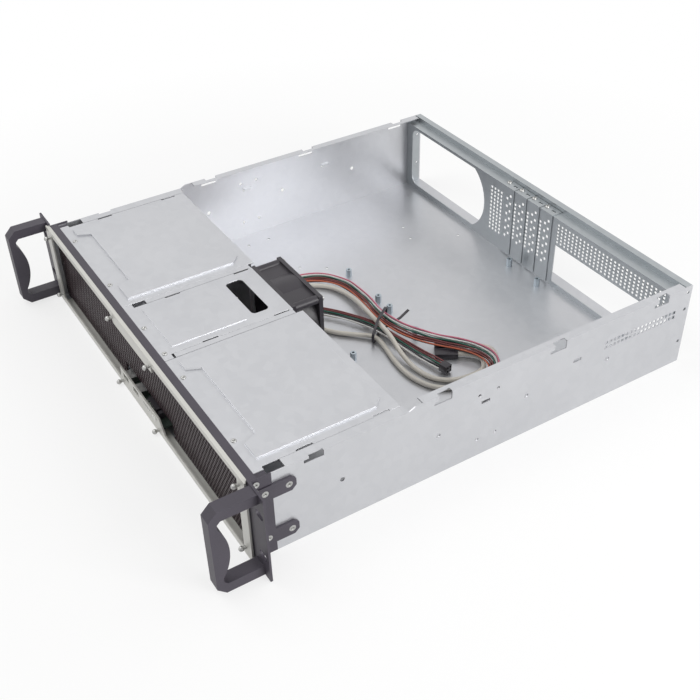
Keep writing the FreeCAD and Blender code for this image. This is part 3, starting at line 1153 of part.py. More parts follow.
def make_ear_screws():
    """Flush screws of the ear brackets, the flat screws of the bar, and the screws of the handles."""
    back, up = EAR_SCREWS[0]
    right = [fuse("BarScrew", [
        peg("BarScrewShank", "x", INNER, back, up, "screw_radius", "steel + bar_steel"),
        peg("BarScrewHead", "x", f"{HALF} + bar_steel", back, up, "ear_screw_head", "flat_head_tall")])]
    for number, (back, up) in enumerate(EAR_SCREWS[1:]):
        shank = peg(f"EarShank{number}", "x", f"{INNER} - 1.5", back, up, "screw_radius",
                    "1.5 + steel + ear_thick - ear_screw_sink")
        head = peg(f"EarHead{number}", "x", f"{HALF} + ear_thick - ear_screw_sink", back, up,
                   "ear_screw_head", "ear_screw_sink")
        right.append(fuse(f"EarScrew{number}", [shank, head]))
    side = group("EarScrewsRight", right)
    node(group("EarScrews", [side, mirrored("EarScrewsLeft", side)]), "ear_bracket_screws")
    pair = []
    for number, up in enumerate(HANDLE_SCREWS):
        shank = peg(f"HandleShank{number}", "y", HANDLE_MIDDLE, "-7", up, "screw_radius", "7 + ear_thick")
        head = peg(f"HandleHead{number}", "y", HANDLE_MIDDLE, "ear_thick", up, "head_radius", "head_tall")
        pair.append(fuse(f"HandleScrew{number}", [shank, head]))
    both = group("HandleScrewsRight", pair)
    node(group("HandleScrews", [both, mirrored("HandleScrewsLeft", both)]), "handle_screws")


FAN_FRONT = "(centre_rear + seam)"
FAN_MIDDLE = "(fan_low + fan_side / 2)"


def fan_corners():
    """The four corner hole positions of the fan, as formulas."""
    half = "fan_screw_pitch / 2"
    return [(f"fan_x {a} {half}", f"{FAN_MIDDLE} {b} {half}") for a in "+-" for b in "+-"]


def make_fan():
    """The fan: a square frame with a round duct, a motor mount on struts, and a bladed rotor."""
    low_x = "(fan_x - fan_side / 2)"
    high_x = "(fan_x + fan_side / 2)"
    rear = f"({FAN_FRONT} + fan_deep)"
    front_plate = block("FanFront", (low_x, high_x), (FAN_FRONT, f"{FAN_FRONT} + fan_flange"),
                        ("fan_low", "fan_low + fan_side"))
    rear_plate = block("FanRear", (low_x, high_x), (f"{rear} - fan_flange", rear),
                       ("fan_low", "fan_low + fan_side"))
    barrel = rod("FanBarrel", "y", "fan_x", FAN_FRONT, FAN_MIDDLE, "fan_barrel", "fan_deep")
    duct = rod("FanDuct", "y", "fan_x", f"{FAN_FRONT} - 1", FAN_MIDDLE, "fan_bore", "fan_deep + 2")
    holes = [peg(f"FanHole{number}", "y", across, f"{FAN_FRONT} - 1", up, "fan_screw_hole", "fan_deep + 2")
             for number, (across, up) in enumerate(fan_corners())]
    casing = cut("FanCasing", fuse("FanBlank", [front_plate, rear_plate, barrel]), [duct] + holes)
    mount = rod("MotorMount", "y", "fan_x", f"{rear} - motor_deep", FAN_MIDDLE, "hub_radius", "motor_deep")
    pin = rod("FanPin", "y", "fan_x", f"{rear} - motor_deep - rotor_gap - hub_deep + 2", FAN_MIDDLE,
              "shaft_radius", "hub_deep - 2 + rotor_gap + motor_deep / 2")
    struts = []
    for number, turn in enumerate((45, 135, 225, 315)):
        strut = doc.addObject("Part::Box", f"Strut{number}")
        bind(strut, "Length", "fan_bore + 1")
        bind(strut, "Width", "motor_deep")
        bind(strut, "Height", "3")
        radians = math.radians(turn)
        strut.Placement = FreeCAD.Placement(Vector(), FreeCAD.Rotation(Vector(0, 1, 0), turn))
        place(strut, f"fan_x - 1.5 * {math.sin(radians)}", f"{rear} - motor_deep",
              f"{FAN_MIDDLE} - 1.5 * {math.cos(radians)}")
        struts.append(strut)
    node(fuse("FanFrame", [casing, mount, pin] + struts), "fan_frame")

    # The rotor: a cup with a bored boss, and swept blades that twist from hub to tip.
    hub_rear = f"({rear} - motor_deep - rotor_gap)"
    hub = rod("Hub", "y", "fan_x", f"{hub_rear} - hub_deep", FAN_MIDDLE, "hub_radius", "hub_deep")
    bore = rod("HubBore", "y", "fan_x", f"{hub_rear} - hub_deep + 1.5", FAN_MIDDLE,
               "shaft_radius + shaft_fit", "hub_deep")
    blades = doc.addObject("Part::Feature", "Blades")
    middle = Vector(value("fan_x"), value("centre_rear") + value("seam") + value("fan_deep")
                    - value("motor_deep") - value("rotor_gap") - value("hub_deep") / 2,
                    value("fan_low") + value("fan_side") / 2)
    count = int(value("blade_count"))
    blade = blade_solid()
    turned = []
    for step in range(count):
        copy = blade.copy()
        copy.rotate(Vector(), Vector(0, 1, 0), 360 * step / count)
        copy.translate(middle)
        turned.append(copy)
    blades.Shape = Part.makeCompound(turned)
    node(cut("RotorBored", fuse("RotorWhole", [hub, blades]), [bore]), "fan_rotor")


BLADE_STATIONS = ((0, 36, 0.66), (0.5, 47, 0.86), (1, 56, 1.0))
BLADE_CAMBER = (0, 0.09, 0.09, 0)


def blade_solid():
    """One blade around the rotor's axis, out of flat facets.

    Each station is a share of the way from hub to tip, the blade's lean from the axis in degrees and
    its share of the full chord. Each section is cambered and wraps around the axis at its own radius.
    """
    half = value("blade_thick") / 2
    rings = []
    for share, lean, width in BLADE_STATIONS:
        root = value("hub_radius") - 0.8
        radius = root + share * (value("blade_tip") - root)
        chord = value("blade_chord") * width
        slope = math.radians(lean)
        top, low = [], []
        for step, bow in enumerate(BLADE_CAMBER):
            along = (step / (len(BLADE_CAMBER) - 1) - 0.5) * chord
            for row, side in ((top, half), (low, -half)):
                out = bow * chord + side
                around = along * math.sin(slope) + out * math.cos(slope) - 6 * share * share
                axial = along * math.cos(slope) - out * math.sin(slope)
                turn = around / radius
                row.append(Vector(radius * math.sin(turn), axial, radius * math.cos(turn)))
        rings.append(top + low[::-1])
    count = len(rings[0])
    faces = []
    for inner, outer in zip(rings, rings[1:]):
        for step in range(count):
            after = (step + 1) % count
            faces.append((inner[step], inner[after], outer[after]))
            faces.append((inner[step], outer[after], outer[step]))
    for ring in (rings[0], rings[-1]):
        for step in range(1, count // 2):
            faces.append((ring[step - 1], ring[step], ring[count - 1 - step]))
            faces.append((ring[step - 1], ring[count - 1 - step], ring[count - step]))
    shell = Part.makeShell([Part.Face(Part.makePolygon([*corners, corners[0]])) for corners in faces])
    solid = Part.makeSolid(shell)
    if solid.Volume < 0:
        solid.reverse()
    return solid


def make_fan_bracket():
    """The plate between the bay dividers that carries the fan, and the four screws through both."""
    body = new_body("FanBracket")
    face = drawing(body, "XZ_Plane", "BracketFace", "centre_rear - steel")
    rectangle(face, ("divider_left_x", "divider_right_x + divider_flange"), (FLOOR, f"{RIM_UNDER} - seam"))
    circle(face, "fan_x", FAN_MIDDLE, "fan_bore")
    pad(body, face, "steel")
    foot = drawing(body, "XY_Plane", "BracketFoot", FLOOR)
    rectangle(foot, ("divider_left_x + divider_foot + 1", "divider_right_x - 1"),
              ("centre_rear - 10", "centre_rear"))
    pad(body, foot, "steel")
    tools = [peg(f"BracketHole{number}", "y", across, "centre_rear - steel - 1", up, "fan_screw_hole",
                 "steel + 2")
             for number, (across, up) in enumerate(fan_corners())]
    node(cut("FanBracketDrilled", body, tools), "fan_bracket")
    screws = []
    for number, (across, up) in enumerate(fan_corners()):
        shank = peg(f"FanShank{number}", "y", across, "centre_rear - steel", up, "fan_screw_hole - screw_fit",
                    "steel + seam + fan_deep")
        head = peg(f"FanHead{number}", "y", across, f"{FAN_FRONT} + fan_deep", up, "3.4", "2.2")
        nut = peg(f"FanNut{number}", "y", across, "centre_rear - steel - 2", up, "3.4", "2")
        screws.append(fuse(f"FanScrew{number}", [shank, head, nut]))
    node(group("FanScrews", screws), "fan_screws")


def make_standoffs():
    """Hexagonal standoffs in the rows and columns of a full-size board."""
    places = (
        ("post_first_x", "post_rear_y"), ("(post_first_x - post_second_column)", "post_rear_y"),
        ("(post_first_x - post_small_column)", "post_rear_y"),
        ("post_first_x", "(post_rear_y - post_second_row)"),
        ("(post_first_x - post_second_column)", "(post_rear_y - post_second_row)"),
        ("(post_first_x - post_small_column)", "(post_rear_y - post_second_row)"),
        ("(post_first_x - post_fourth_column)", "(post_rear_y - post_second_row)"),
        ("(post_first_x - post_last_column)", "(post_rear_y - post_second_row)"),
        ("post_first_x", "(post_rear_y - post_third_row)"),
        ("(post_first_x - post_second_column)", "(post_rear_y - post_third_row)"),
        ("(post_first_x - post_last_column)", "(post_rear_y - post_third_row)"),
    )
    posts = []
    for number, (across, back) in enumerate(places):
        hexagon = doc.addObject("Part::Prism", f"Post{number}")
        hexagon.Polygon = 6
        bind(hexagon, "Circumradius", "post_across / 1.732")
        bind(hexagon, "Height", "post_tall")
        place(hexagon, across, back, FLOOR)
        bore = rod(f"PostBore{number}", "z", across, back, f"{FLOOR} + 2", "post_bore", "post_tall")
        posts.append(cut(f"PostBored{number}", hexagon, [bore]))
    node(group("Standoffs", posts), "board_standoffs")


make_chassis_pan()
make_rear_panel()
make_slot_covers()
make_bay_covers()
make_dividers()
make_front_bar()
make_front_frame()
make_studs()
make_front_mesh()
make_control_board()
make_ear_bracket("Right")
make_ear_bracket("Left")
make_handle("Right")
make_handle("Left")
make_ear_screws()
make_fan()
make_fan_bracket()
make_standoffs()

# Every object has computed, every sub-part is a valid shape, and each is written under its own name.
doc.recompute()
failed = [item.Name for item in doc.Objects if "Invalid" in item.State or "Error" in item.State]
if failed:
    raise RuntimeError("objects that did not compute: " + ", ".join(failed))
os.makedirs("parts", exist_ok=True)
for item in nodes:
    shape = item.Shape
    if shape.isNull() or not shape.isValid() or not shape.Solids:
        raise RuntimeError("not a valid solid: " + item.Label)
    shape.exportStep(os.path.join("parts", item.Label + ".step"))
    print(f"{item.Label:24s} solids {len(shape.Solids):3d}  volume {shape.Volume:12.1f}")
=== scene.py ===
# %% [markdown]
# An empty two-unit server case in Blender
#
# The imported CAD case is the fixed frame. This script adds its surfaces, its fine perforation, its turned
# screws and studs, and the cables that lie behind its fan.

# %% Load the frame
import json
import math
import random

import bmesh
import bpy
from mathutils import Matrix, Vector


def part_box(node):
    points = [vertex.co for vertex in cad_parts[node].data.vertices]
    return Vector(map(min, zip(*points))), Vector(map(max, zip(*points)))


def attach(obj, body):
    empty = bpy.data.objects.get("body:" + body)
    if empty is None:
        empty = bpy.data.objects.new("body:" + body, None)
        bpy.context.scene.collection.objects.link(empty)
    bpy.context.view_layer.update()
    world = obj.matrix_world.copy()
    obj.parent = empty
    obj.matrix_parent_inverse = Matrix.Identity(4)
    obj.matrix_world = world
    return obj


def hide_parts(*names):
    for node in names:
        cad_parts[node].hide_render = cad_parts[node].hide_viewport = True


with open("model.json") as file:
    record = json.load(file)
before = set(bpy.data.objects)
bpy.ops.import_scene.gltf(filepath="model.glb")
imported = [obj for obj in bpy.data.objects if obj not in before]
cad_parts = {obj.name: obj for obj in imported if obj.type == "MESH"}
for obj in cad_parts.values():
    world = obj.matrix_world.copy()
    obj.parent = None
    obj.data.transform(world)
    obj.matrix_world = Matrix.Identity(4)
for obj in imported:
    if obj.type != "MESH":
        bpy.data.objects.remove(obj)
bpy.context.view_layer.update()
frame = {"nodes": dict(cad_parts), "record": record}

MM = 0.001
EAR_FACE_Y = -207.9
UP = Vector((0, 0, 1))
print("nodes in the frame:", len(frame["nodes"]))


def place(x, y, z):
    """A point in millimetres, y counted back from the ears' front faces, as metres in the frame."""
    return Vector((x, y + EAR_FACE_Y, z)) * MM


# %% [markdown]
# The camera
#
# A camera can be turned by eye, but then the far end of a long case easily comes out wrong. Here the
# place, the turn and the lens were fitted to the case's known width and height and to the standard spacing
# of its standoffs, so that each other piece can be compared with the photograph.

# %% Place the camera
CAMERA_AT = (0.7232436, -0.4231698, 0.6309520)
CAMERA_RIGHT = (0.5293814, 0.8481609, -0.0194526)
CAMERA_UP = (-0.5133064, 0.3384688, 0.7886415)
CAMERA_BACK = (0.6754790, -0.4075070, 0.6145455)
SENSOR = 36
FOCAL = 54.03

camera = bpy.data.objects.new("camera", bpy.data.cameras.new("camera"))
camera.data.sensor_width = SENSOR
camera.data.lens = FOCAL
turn = Matrix((CAMERA_RIGHT, CAMERA_UP, CAMERA_BACK)).transposed()
camera.matrix_world = Matrix.Translation(CAMERA_AT) @ turn.to_4x4()
bpy.context.scene.collection.objects.link(camera)
bpy.context.scene.camera = camera
print("camera at", tuple(round(part, 3) for part in camera.location))

# %% [markdown]
# Expressions for shader nodes
#
# Nodes can be made and linked one at a time, but then each step of a formula takes some lines. Here a
# Value is one output socket, and arithmetic on it adds the Math nodes, so that a material reads as formulas.

# %% Define the socket class


class Value:
    """One output of a shader node that takes part in arithmetic."""

    def __init__(self, graph, socket):
        self.graph = graph
        self.socket = socket

    def __add__(self, other):
        return self.graph.math("ADD", self, other)

    def __radd__(self, other):
        return self.graph.math("ADD", other, self)

    def __sub__(self, other):
        return self.graph.math("SUBTRACT", self, other)

    def __rsub__(self, other):
        return self.graph.math("SUBTRACT", other, self)

    def __mul__(self, other):
        return self.graph.math("MULTIPLY", self, other)

    def __rmul__(self, other):
        return self.graph.math("MULTIPLY", other, self)


class Graph:
    """The node tree of one material or world."""

    def __init__(self, owner):
        owner.use_nodes = True
        self.tree = owner.node_tree
        self.tree.nodes.clear()

    def add(self, kind, settings=(), output=0, **inputs):
        """Adds a node of any kind: first its settings, then its sockets by name, with _ for a space."""
        node = self.tree.nodes.new(kind)
        for key, setting in dict(settings).items():
            setattr(node, key, setting)
        for key, value in inputs.items():
            self.feed(node.inputs[key.replace("_", " ")], value)
        return Value(self, node.outputs[output]) if node.outputs else node

    def feed(self, socket, value):
        """Links a Value to a socket, or sets a constant on it."""
        if isinstance(value, Value):
            self.tree.links.new(value.socket, socket)
        else:
            socket.default_value = value

    def math(self, operation, *values, clamp=False):
        """The result of one Math node."""
        node = self.tree.nodes.new("ShaderNodeMath")
        node.operation = operation
        node.use_clamp = clamp
        for socket, value in zip(node.inputs, values):
            self.feed(socket, value)
        return Value(self, node.outputs[0])

    def mix(self, share, first, second):
        """A colour between two others."""
        node = self.tree.nodes.new("ShaderNodeMix")
        node.data_type = "RGBA"
        sockets = node.inputs[0], node.inputs[6], node.inputs[7]
        for socket, value in zip(sockets, (share, first, second)):
            self.feed(socket, (*value, 1) if isinstance(value, tuple) else value)
        return Value(self, node.outputs[2])

    def place(self):
        """The shaded point in its object's own metres."""
        return self.add("ShaderNodeTexCoord", output=3)

    def noise(self, size, detail=3.0):
        """Smooth noise from 0 to 1 whose features are about size metres wide."""
        return self.add("ShaderNodeTexNoise", Vector=self.place(), Scale=1 / size, Detail=detail)

    def bump(self, height, depth):
        """A surface normal that follows a height of up to depth metres."""
        return self.add("ShaderNodeBump", Height=height, Distance=depth)

    def surface(self, shader):
        self.add("ShaderNodeOutputMaterial", Surface=shader)


print("socket class ready")

# %% [markdown]
# Surfaces
#
# An image could give a surface its grain, but it needs an unwrapped mesh. Here each finish is one function
# that works in the object's own metres, so its grain has the same real size on every piece.

# %% Start a finish


def material(name):
    """A new material and its empty node tree."""
    found = bpy.data.materials.new(name)
    return found, Graph(found)


# %% [markdown]
# Zinc-coated sheet
#
# The body is galvanised sheet. Noise alone would look like cloud, so its flower comes from Voronoi cells,
# which have the edges that zinc shows where it froze in patches.

# %% Coat the sheet
ZINC_FLOWER = 7 * MM
ZINC_CLOUD = 90 * MM
ZINC_GRAIN = 1.2 * MM
ZINC_RELIEF = 0.04 * MM


def zinc_sheet(name, light, dark, rough):
    """Galvanised sheet: a faint zinc flower, slow changes of tone, and a satin shine."""
    made, graph = material(name)
    flower = graph.add("ShaderNodeTexVoronoi", Vector=graph.place(), Scale=1 / ZINC_FLOWER, output=1)
    flower = graph.add("ShaderNodeSeparateColor", Color=flower)
    cloud = graph.noise(ZINC_CLOUD, 4)
    grain = graph.noise(ZINC_GRAIN, 2)
    share = graph.math("ADD", flower * 0.22, cloud * 0.7, clamp=True)
    shader = graph.add(
        "ShaderNodeBsdfPrincipled",
        Base_Color=graph.mix(share, dark, light),
        Metallic=0.78,
        Roughness=rough + flower * 0.05 + grain * 0.04,
        Normal=graph.bump(grain + cloud * 2, ZINC_RELIEF),
    )
    graph.surface(shader)
    return made


# %% [markdown]
# Paint and plastic
#
# The ears, the handles and the top bar are powder coated, and the fan is moulded plastic. The two are kept
# apart because only the paint gets lighter where it is rubbed.

# %% Paint and mould
COAT_SKIN = 0.9 * MM
COAT_RUB = 30 * MM
COAT_RELIEF = 0.12 * MM


def powder_coat(name, colour, worn, rough, metallic=0.0):
    """Paint baked from powder: a fine orange skin, and a lighter tone where hands and edges rub it."""
    made, graph = material(name)
    skin = graph.noise(COAT_SKIN, 2)
    rub = graph.noise(COAT_RUB, 5)
    share = graph.math("MULTIPLY", rub - 0.45, 1.6, clamp=True)
    shader = graph.add(
        "ShaderNodeBsdfPrincipled",
        Base_Color=graph.mix(share, colour, worn),
        Metallic=metallic,
        Roughness=rough + rub * 0.12,
        Normal=graph.bump(skin, COAT_RELIEF),
    )
    graph.surface(shader)
    return made


SPARK_SIZE = 0.5 * MM
SPARK_TONE = 20 * MM
SPARK_RELIEF = 0.05 * MM


def moulded(name, colour, second, rough):
    """Moulded plastic: a spark-eroded texture and a slight change of tone."""
    made, graph = material(name)
    spark = graph.noise(SPARK_SIZE, 3)
    tone = graph.noise(SPARK_TONE, 3)
    shader = graph.add(
        "ShaderNodeBsdfPrincipled",
        Base_Color=graph.mix(tone, colour, second),
        Roughness=rough + spark * 0.15,
        Normal=graph.bump(spark, SPARK_RELIEF),
    )
    graph.surface(shader)
    return made


# %% [markdown]
# Plated metal and cable jackets
#
# Screws and studs are bright metal that hands make duller, and a cable's jacket gathers dust. Noise of two
# sizes does both: the larger one changes tone and roughness, and the smaller one is the bump.

# %% Plate the metal and cover the cables
PLATED_DULL = 4 * MM
PLATED_MARKS = 0.4 * MM
PLATED_RELIEF = 0.02 * MM


def plated(name, light, dark, rough):
    """Turned and plated metal: fine turning marks, and duller where it has been handled."""
    made, graph = material(name)
    dull = graph.noise(PLATED_DULL, 3)
    marks = graph.noise(PLATED_MARKS, 2)
    shader = graph.add(
        "ShaderNodeBsdfPrincipled",
        Base_Color=graph.mix(dull, dark, light),
        Metallic=1.0,
        Roughness=rough + dull * 0.2,
        Normal=graph.bump(marks, PLATED_RELIEF),
    )
    graph.surface(shader)
    return made


JACKET_DUST = 12 * MM
JACKET_MARKS = 0.7 * MM
JACKET_RELIEF = 0.04 * MM


def jacket(name, colour, dusty):
    """A cable's soft jacket: slightly dusty, with a faint grain."""
    made, graph = material(name)
    dust = graph.noise(JACKET_DUST, 4)
    drawn = graph.noise(JACKET_MARKS, 2)
    shader = graph.add(
        "ShaderNodeBsdfPrincipled",
        Base_Color=graph.mix(dust, colour, dusty),
        Roughness=0.38 + dust * 0.2,
        Normal=graph.bump(drawn, JACKET_RELIEF),
    )
    graph.surface(shader)
    return made


# %% [markdown]
# The control board and its lamps
#
# Brick cells stand in for a board's tracks, because nobody reads them at this distance. A lamp's lens lets
# light through, and its colour carries a painted sheen: Layer Weight makes it paler where it curves away.

# %% Cover the board and clear the lenses
TRACK_PITCH = 4 * MM
TRACK_RELIEF = 0.04 * MM


def laminate(name, colour, track):
    """A circuit board: solder mask over darker tracks."""
    made, graph = material(name)
    cells = graph.add("ShaderNodeTexBrick", Vector=graph.place(), Scale=1 / TRACK_PITCH, output=1)
    shader = graph.add(
        "ShaderNodeBsdfPrincipled",
        Base_Color=graph.mix(cells, colour, track),
        Roughness=0.35 + graph.noise(0.001) * 0.1,
        Normal=graph.bump(cells, TRACK_RELIEF),
    )
    graph.surface(shader)
    return made


def lens(name, colour):
    """A clear lamp lens, with a painted sheen that makes its colour paler towards its rim."""
    made, graph = material(name)
    # painted sheen: Layer Weight's facing output turns the base colour near-white where the lens curves away
    rim = graph.add("ShaderNodeLayerWeight", Blend=0.4, output=1)
    shader = graph.add(
        "ShaderNodeBsdfPrincipled",
        Base_Color=graph.mix(rim, colour, (0.9, 0.92, 0.9)),
        Roughness=0.12,
        Transmission_Weight=0.6,
    )
    graph.surface(shader)
    return made


# %% [markdown]
# Giving each part its finish
#
# The record names a material slot for every part, so one loop over the frame does them all. The bay covers
# were pressed from sheet and have soft edges, which a Bevel modifier gives them. Their mesh has several
# corners in one place, and a Weld before the Bevel joins those.

# %% Hand out the finishes
FINISHES = {
    "galvanised": zinc_sheet("galvanised", (0.60, 0.605, 0.625), (0.50, 0.507, 0.53), 0.31),
    "rear_steel": zinc_sheet("rear_steel", (0.45, 0.475, 0.49), (0.35, 0.373, 0.388), 0.30),
    "black_steel": powder_coat("black_steel", (0.044, 0.038, 0.052), (0.066, 0.058, 0.076), 0.44),
    "mesh_black": powder_coat("mesh_black", (0.030, 0.017, 0.021), (0.046, 0.027, 0.033), 0.42),
    "frame_steel": powder_coat("frame_steel", (0.56, 0.555, 0.52), (0.62, 0.615, 0.58), 0.34, 0.35),
    "screw_steel": plated("screw_steel", (0.54, 0.54, 0.53), (0.36, 0.36, 0.35), 0.28),
    "standoff_steel": plated("standoff_steel", (0.52, 0.58, 0.62), (0.36, 0.41, 0.45), 0.25),
    "brass": plated("brass", (0.82, 0.73, 0.52), (0.62, 0.52, 0.34), 0.25),
    "black_plastic": moulded("black_plastic", (0.020, 0.017, 0.022), (0.031, 0.027, 0.034), 0.34),
    "white_plastic": moulded("white_plastic", (0.80, 0.80, 0.77), (0.74, 0.74, 0.71), 0.30),
    "board_green": laminate("board_green", (0.008, 0.022, 0.014), (0.006, 0.015, 0.010)),
    "lamp_clear": lens("lamp_clear", (0.55, 0.62, 0.55)),
    "cable_beige": jacket("cable_beige", (0.60, 0.57, 0.51), (0.50, 0.475, 0.43)),
}
SLOTS = {part["node"]: part["material_slot"] for part in frame["record"]["subparts"]}
SHOWN_AS = {"board_standoffs": "standoff_steel"}
for name, item in frame["nodes"].items():
    item.data.materials.clear()
    item.data.materials.append(FINISHES[SHOWN_AS.get(name, SLOTS[name])])
EDGE_ROUND = 0.22 * MM
WELD_WITHIN = 0.01 * MM
EDGE_SHARPER_THAN = math.radians(15)
for name, item in frame["nodes"].items():
    if name.startswith("bay_cover") and "screw" not in name:
        item.modifiers.new("joined_corners", "WELD").merge_threshold = WELD_WITHIN
        soften = item.modifiers.new("pressed_edges", "BEVEL")
        soften.width = EDGE_ROUND
        soften.segments = 2
        soften.limit_method = "ANGLE"
        soften.angle_limit = EDGE_SHARPER_THAN
        print("edges rounded:", name, len(item.data.polygons))
print("finishes:", ", ".join(FINISHES))


def add_piece(name, mesh, body, slot, *materials, smooth=None):
    """A finished mesh as a piece of the scene that rides on a body."""
    item = bpy.data.objects.new(name, mesh)
    bpy.context.scene.collection.objects.link(item)
    for one in materials or (FINISHES[slot],):
        mesh.materials.append(one)
    if smooth is not None:
        mesh.shade_smooth()
        mesh.set_sharp_from_angle(angle=math.radians(smooth))
    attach(item, body)
    return item


# %% [markdown]
# The cables
#
# A cable swept along straight runs looks like bent wire, so each route here is one smooth spline through
# the air or along the floor, with its points listed. The two data cables are that line itself, and the
# thin wires are strands beside such a line.

# %% Choose the routes
CABLE_START_Y = 19.5
ROUTES = {
    "data_cord_a": (
        (24, CABLE_START_Y, 9.8), (24, 42, 9.8), (23.5, 66, 4.5), (20, 90, 3.6), (-2, 112, 7),
        (-28, 118.5, 15.4), (-50, 119.5, 15.6), (-61, 134, 7), (-60.5, 156, 3.4), (-48, 178, 3.4),
        (-4, 197.5, 3.6), (17, 219, 4), (30, 233, 5.2), (52, 231, 4), (74, 226.5, 3.6),
        (100, 226, 3.6), (123, 234, 3.6), (136, 251, 3.6), (140, 272, 3.6), (137, 294, 3.6),
        (122, 313, 3.8), (104, 317, 4.3), (94.3, 302.5, 4.3), (86.5, 290.5, 4.3)),
    "data_cord_b": (
        (-4, CABLE_START_Y, 9.8), (-4, 40, 9.8), (-4.4, 58, 5.4), (-6, 76, 3.6), (-15, 97, 8),
        (-32, 106.5, 15.4), (-54, 107.8, 15.6), (-73, 114, 7), (-81, 136, 3.4), (-84, 166, 3.4),
        (-89.5, 198, 3.4), (-86.5, 222, 3.6), (-71, 239.5, 4), (-54.5, 246, 5), (-32, 248, 7),
        (-9, 244.5, 10.5), (10, 241, 14), (30, 239.5, 15.2), (48, 239, 13.6), (68, 236.5, 7.4),
        (92, 236.5, 3.6), (114, 242.5, 3.6), (126, 256, 3.6), (130, 275, 3.6), (128.4, 293.1, 3.8),
        (108.5, 302.4, 4.3), (96.5, 284, 4.3)),
    "wire_strands_a": (
        (-16, CABLE_START_Y, 9.8), (-16, 34, 9.8), (-16, 49, 7.4), (-16.5, 66, 6.6), (-21, 84, 9),
        (-33, 103, 26), (-55, 104.5, 27), (-84, 113, 15), (-97, 137, 7), (-98, 168, 6.6),
        (-98, 200, 6.6), (-96, 224, 6.8), (-83, 244, 7.4), (-62, 253.8, 8.4), (-37, 255.5, 10),
        (-12, 253.8, 11.4), (8, 250.6, 12.4), (28, 251.6, 12.6), (50, 258, 12.4), (72, 271, 12.2),
        (93, 288, 12.2), (111, 298.5, 12.4), (128, 301, 12.4), (143, 293, 12.2), (153, 278, 9),
        (158, 262, 7)),
    "wire_strands_b": (
        (10, CABLE_START_Y, 9.8), (10, 38, 9.8), (9.5, 58, 7), (6, 82, 7.2), (-8, 104, 11),
        (-30, 112.5, 18), (-52, 113, 18.2), (-67, 124, 10), (-73.5, 146, 6.6), (-67, 172, 6.4),
        (-50, 196, 6.4), (-30, 212.5, 6.4), (-13, 224.5, 6.6), (4, 234.5, 6.8), (22, 241, 6.8),
        (40, 244.5, 6.8), (60, 248, 6.8), (84, 253, 6.8), (105, 258.5, 6.8)),
}
print("routes:", ", ".join(ROUTES))

# %% [markdown]
# The wires
#
# A bunch is two wires deep, and its rows lean so that the upper one faces up and forward. It could be one
# flat ribbon, but separate wires with a little wander show gaps and shadows as real ones do.

# %% Choose the wires
DATA_CABLE = 4.8 * MM
BUNCH_LEAN = math.radians(36)
WIRE = 1.62 * MM
WIRE_SIDES = 8
WIRE_ROWS = 2
COLUMN_STEP = 1.02
ROW_STEP = 1.05
OPENS_BY = 0.3
WANDER_ACROSS = 0.35
WANDER_THROUGH = 0.2
WAVE_LONG = (0.03, 0.09)
WAVE_HIGH = (0.2, 0.5)
OPENING = {"wire_strands_a": (0.37, 0.43), "wire_strands_b": (0.34, 0.39)}
WIRE_COLOURS = {
    "pink": ((0.56, 0.15, 0.22), (0.46, 0.13, 0.19)), "white": ((0.72, 0.71, 0.69), (0.60, 0.59, 0.58)),
    "blue": ((0.34, 0.43, 0.52), (0.28, 0.36, 0.44)), "green": ((0.015, 0.085, 0.06), (0.02, 0.095, 0.07)),
    "brown": ((0.16, 0.035, 0.035), (0.13, 0.035, 0.035)), "orange": ((0.50, 0.12, 0.06), (0.42, 0.11, 0.06)),
    "black": ((0.03, 0.03, 0.035), (0.05, 0.05, 0.055)), "lilac": ((0.42, 0.36, 0.44), (0.35, 0.30, 0.37)),
    "olive": ((0.17, 0.15, 0.07), (0.14, 0.13, 0.07)), "cream": ((0.66, 0.62, 0.53), (0.56, 0.53, 0.46)),
}
STRANDS = {
    "wire_strands_a": ("black", "brown", "olive", "black", "white", "lilac",
                       "orange", "brown", "brown", "green", "white", "pink"),
    "wire_strands_b": ("cream", "black", "olive", "lilac", "black",
                       "white", "black", "green", "brown", "brown"),
}
print("wires:", sum(len(colours) for colours in STRANDS.values()))

# %% Draw a route's spline


def cable_curve(name, bevel):
    """The smooth spline over a route's points."""
    data = bpy.data.curves.new(name, "CURVE")
    data.dimensions = "3D"
    data.resolution_u = 10
    data.bevel_depth = bevel
    data.bevel_resolution = 3
    data.use_fill_caps = True
    spline = data.splines.new("NURBS")
    points = ROUTES[name]
    spline.points.add(len(points) - 1)
    for control, point in zip(spline.points, points):
        control.co = (*place(*point), 1)
    spline.order_u = 3
    spline.use_endpoint_u = True
    item = bpy.data.objects.new(name, data)
    bpy.context.scene.collection.objects.link(item)
    return item


def centre_line(name):
    """Points read along the route's spline."""
    item = cable_curve(name, 0)
    line = bpy.data.meshes.new_from_object(item)
    points = [vertex.co.copy() for vertex in line.vertices]
    bpy.data.objects.remove(item)
    return points


# %% Make one wire


def tube(mesh, line, radius, sides, slot):
    """One round tube with closed ends along a list of points."""
    rings = []
    for step, point in enumerate(line):
        ahead = (line[min(step + 1, len(line) - 1)] - line[max(step - 1, 0)]).normalized()
        side = ahead.cross(UP).normalized()
        up = side.cross(ahead)
        rings.append([mesh.verts.new(point + (side * math.cos(angle) + up * math.sin(angle)) * radius)
                      for angle in (math.tau * turn / sides for turn in range(sides))])
    faces = [mesh.faces.new(list(reversed(rings[0]))), mesh.faces.new(rings[-1])]
    for near, far in zip(rings, rings[1:]):
        for turn in range(sides):
            after = (turn + 1) % sides
            faces.append(mesh.faces.new((near[turn], near[after], far[after], far[turn])))
    for face in faces:
        face.material_index = slot


# %% Spread a bunch


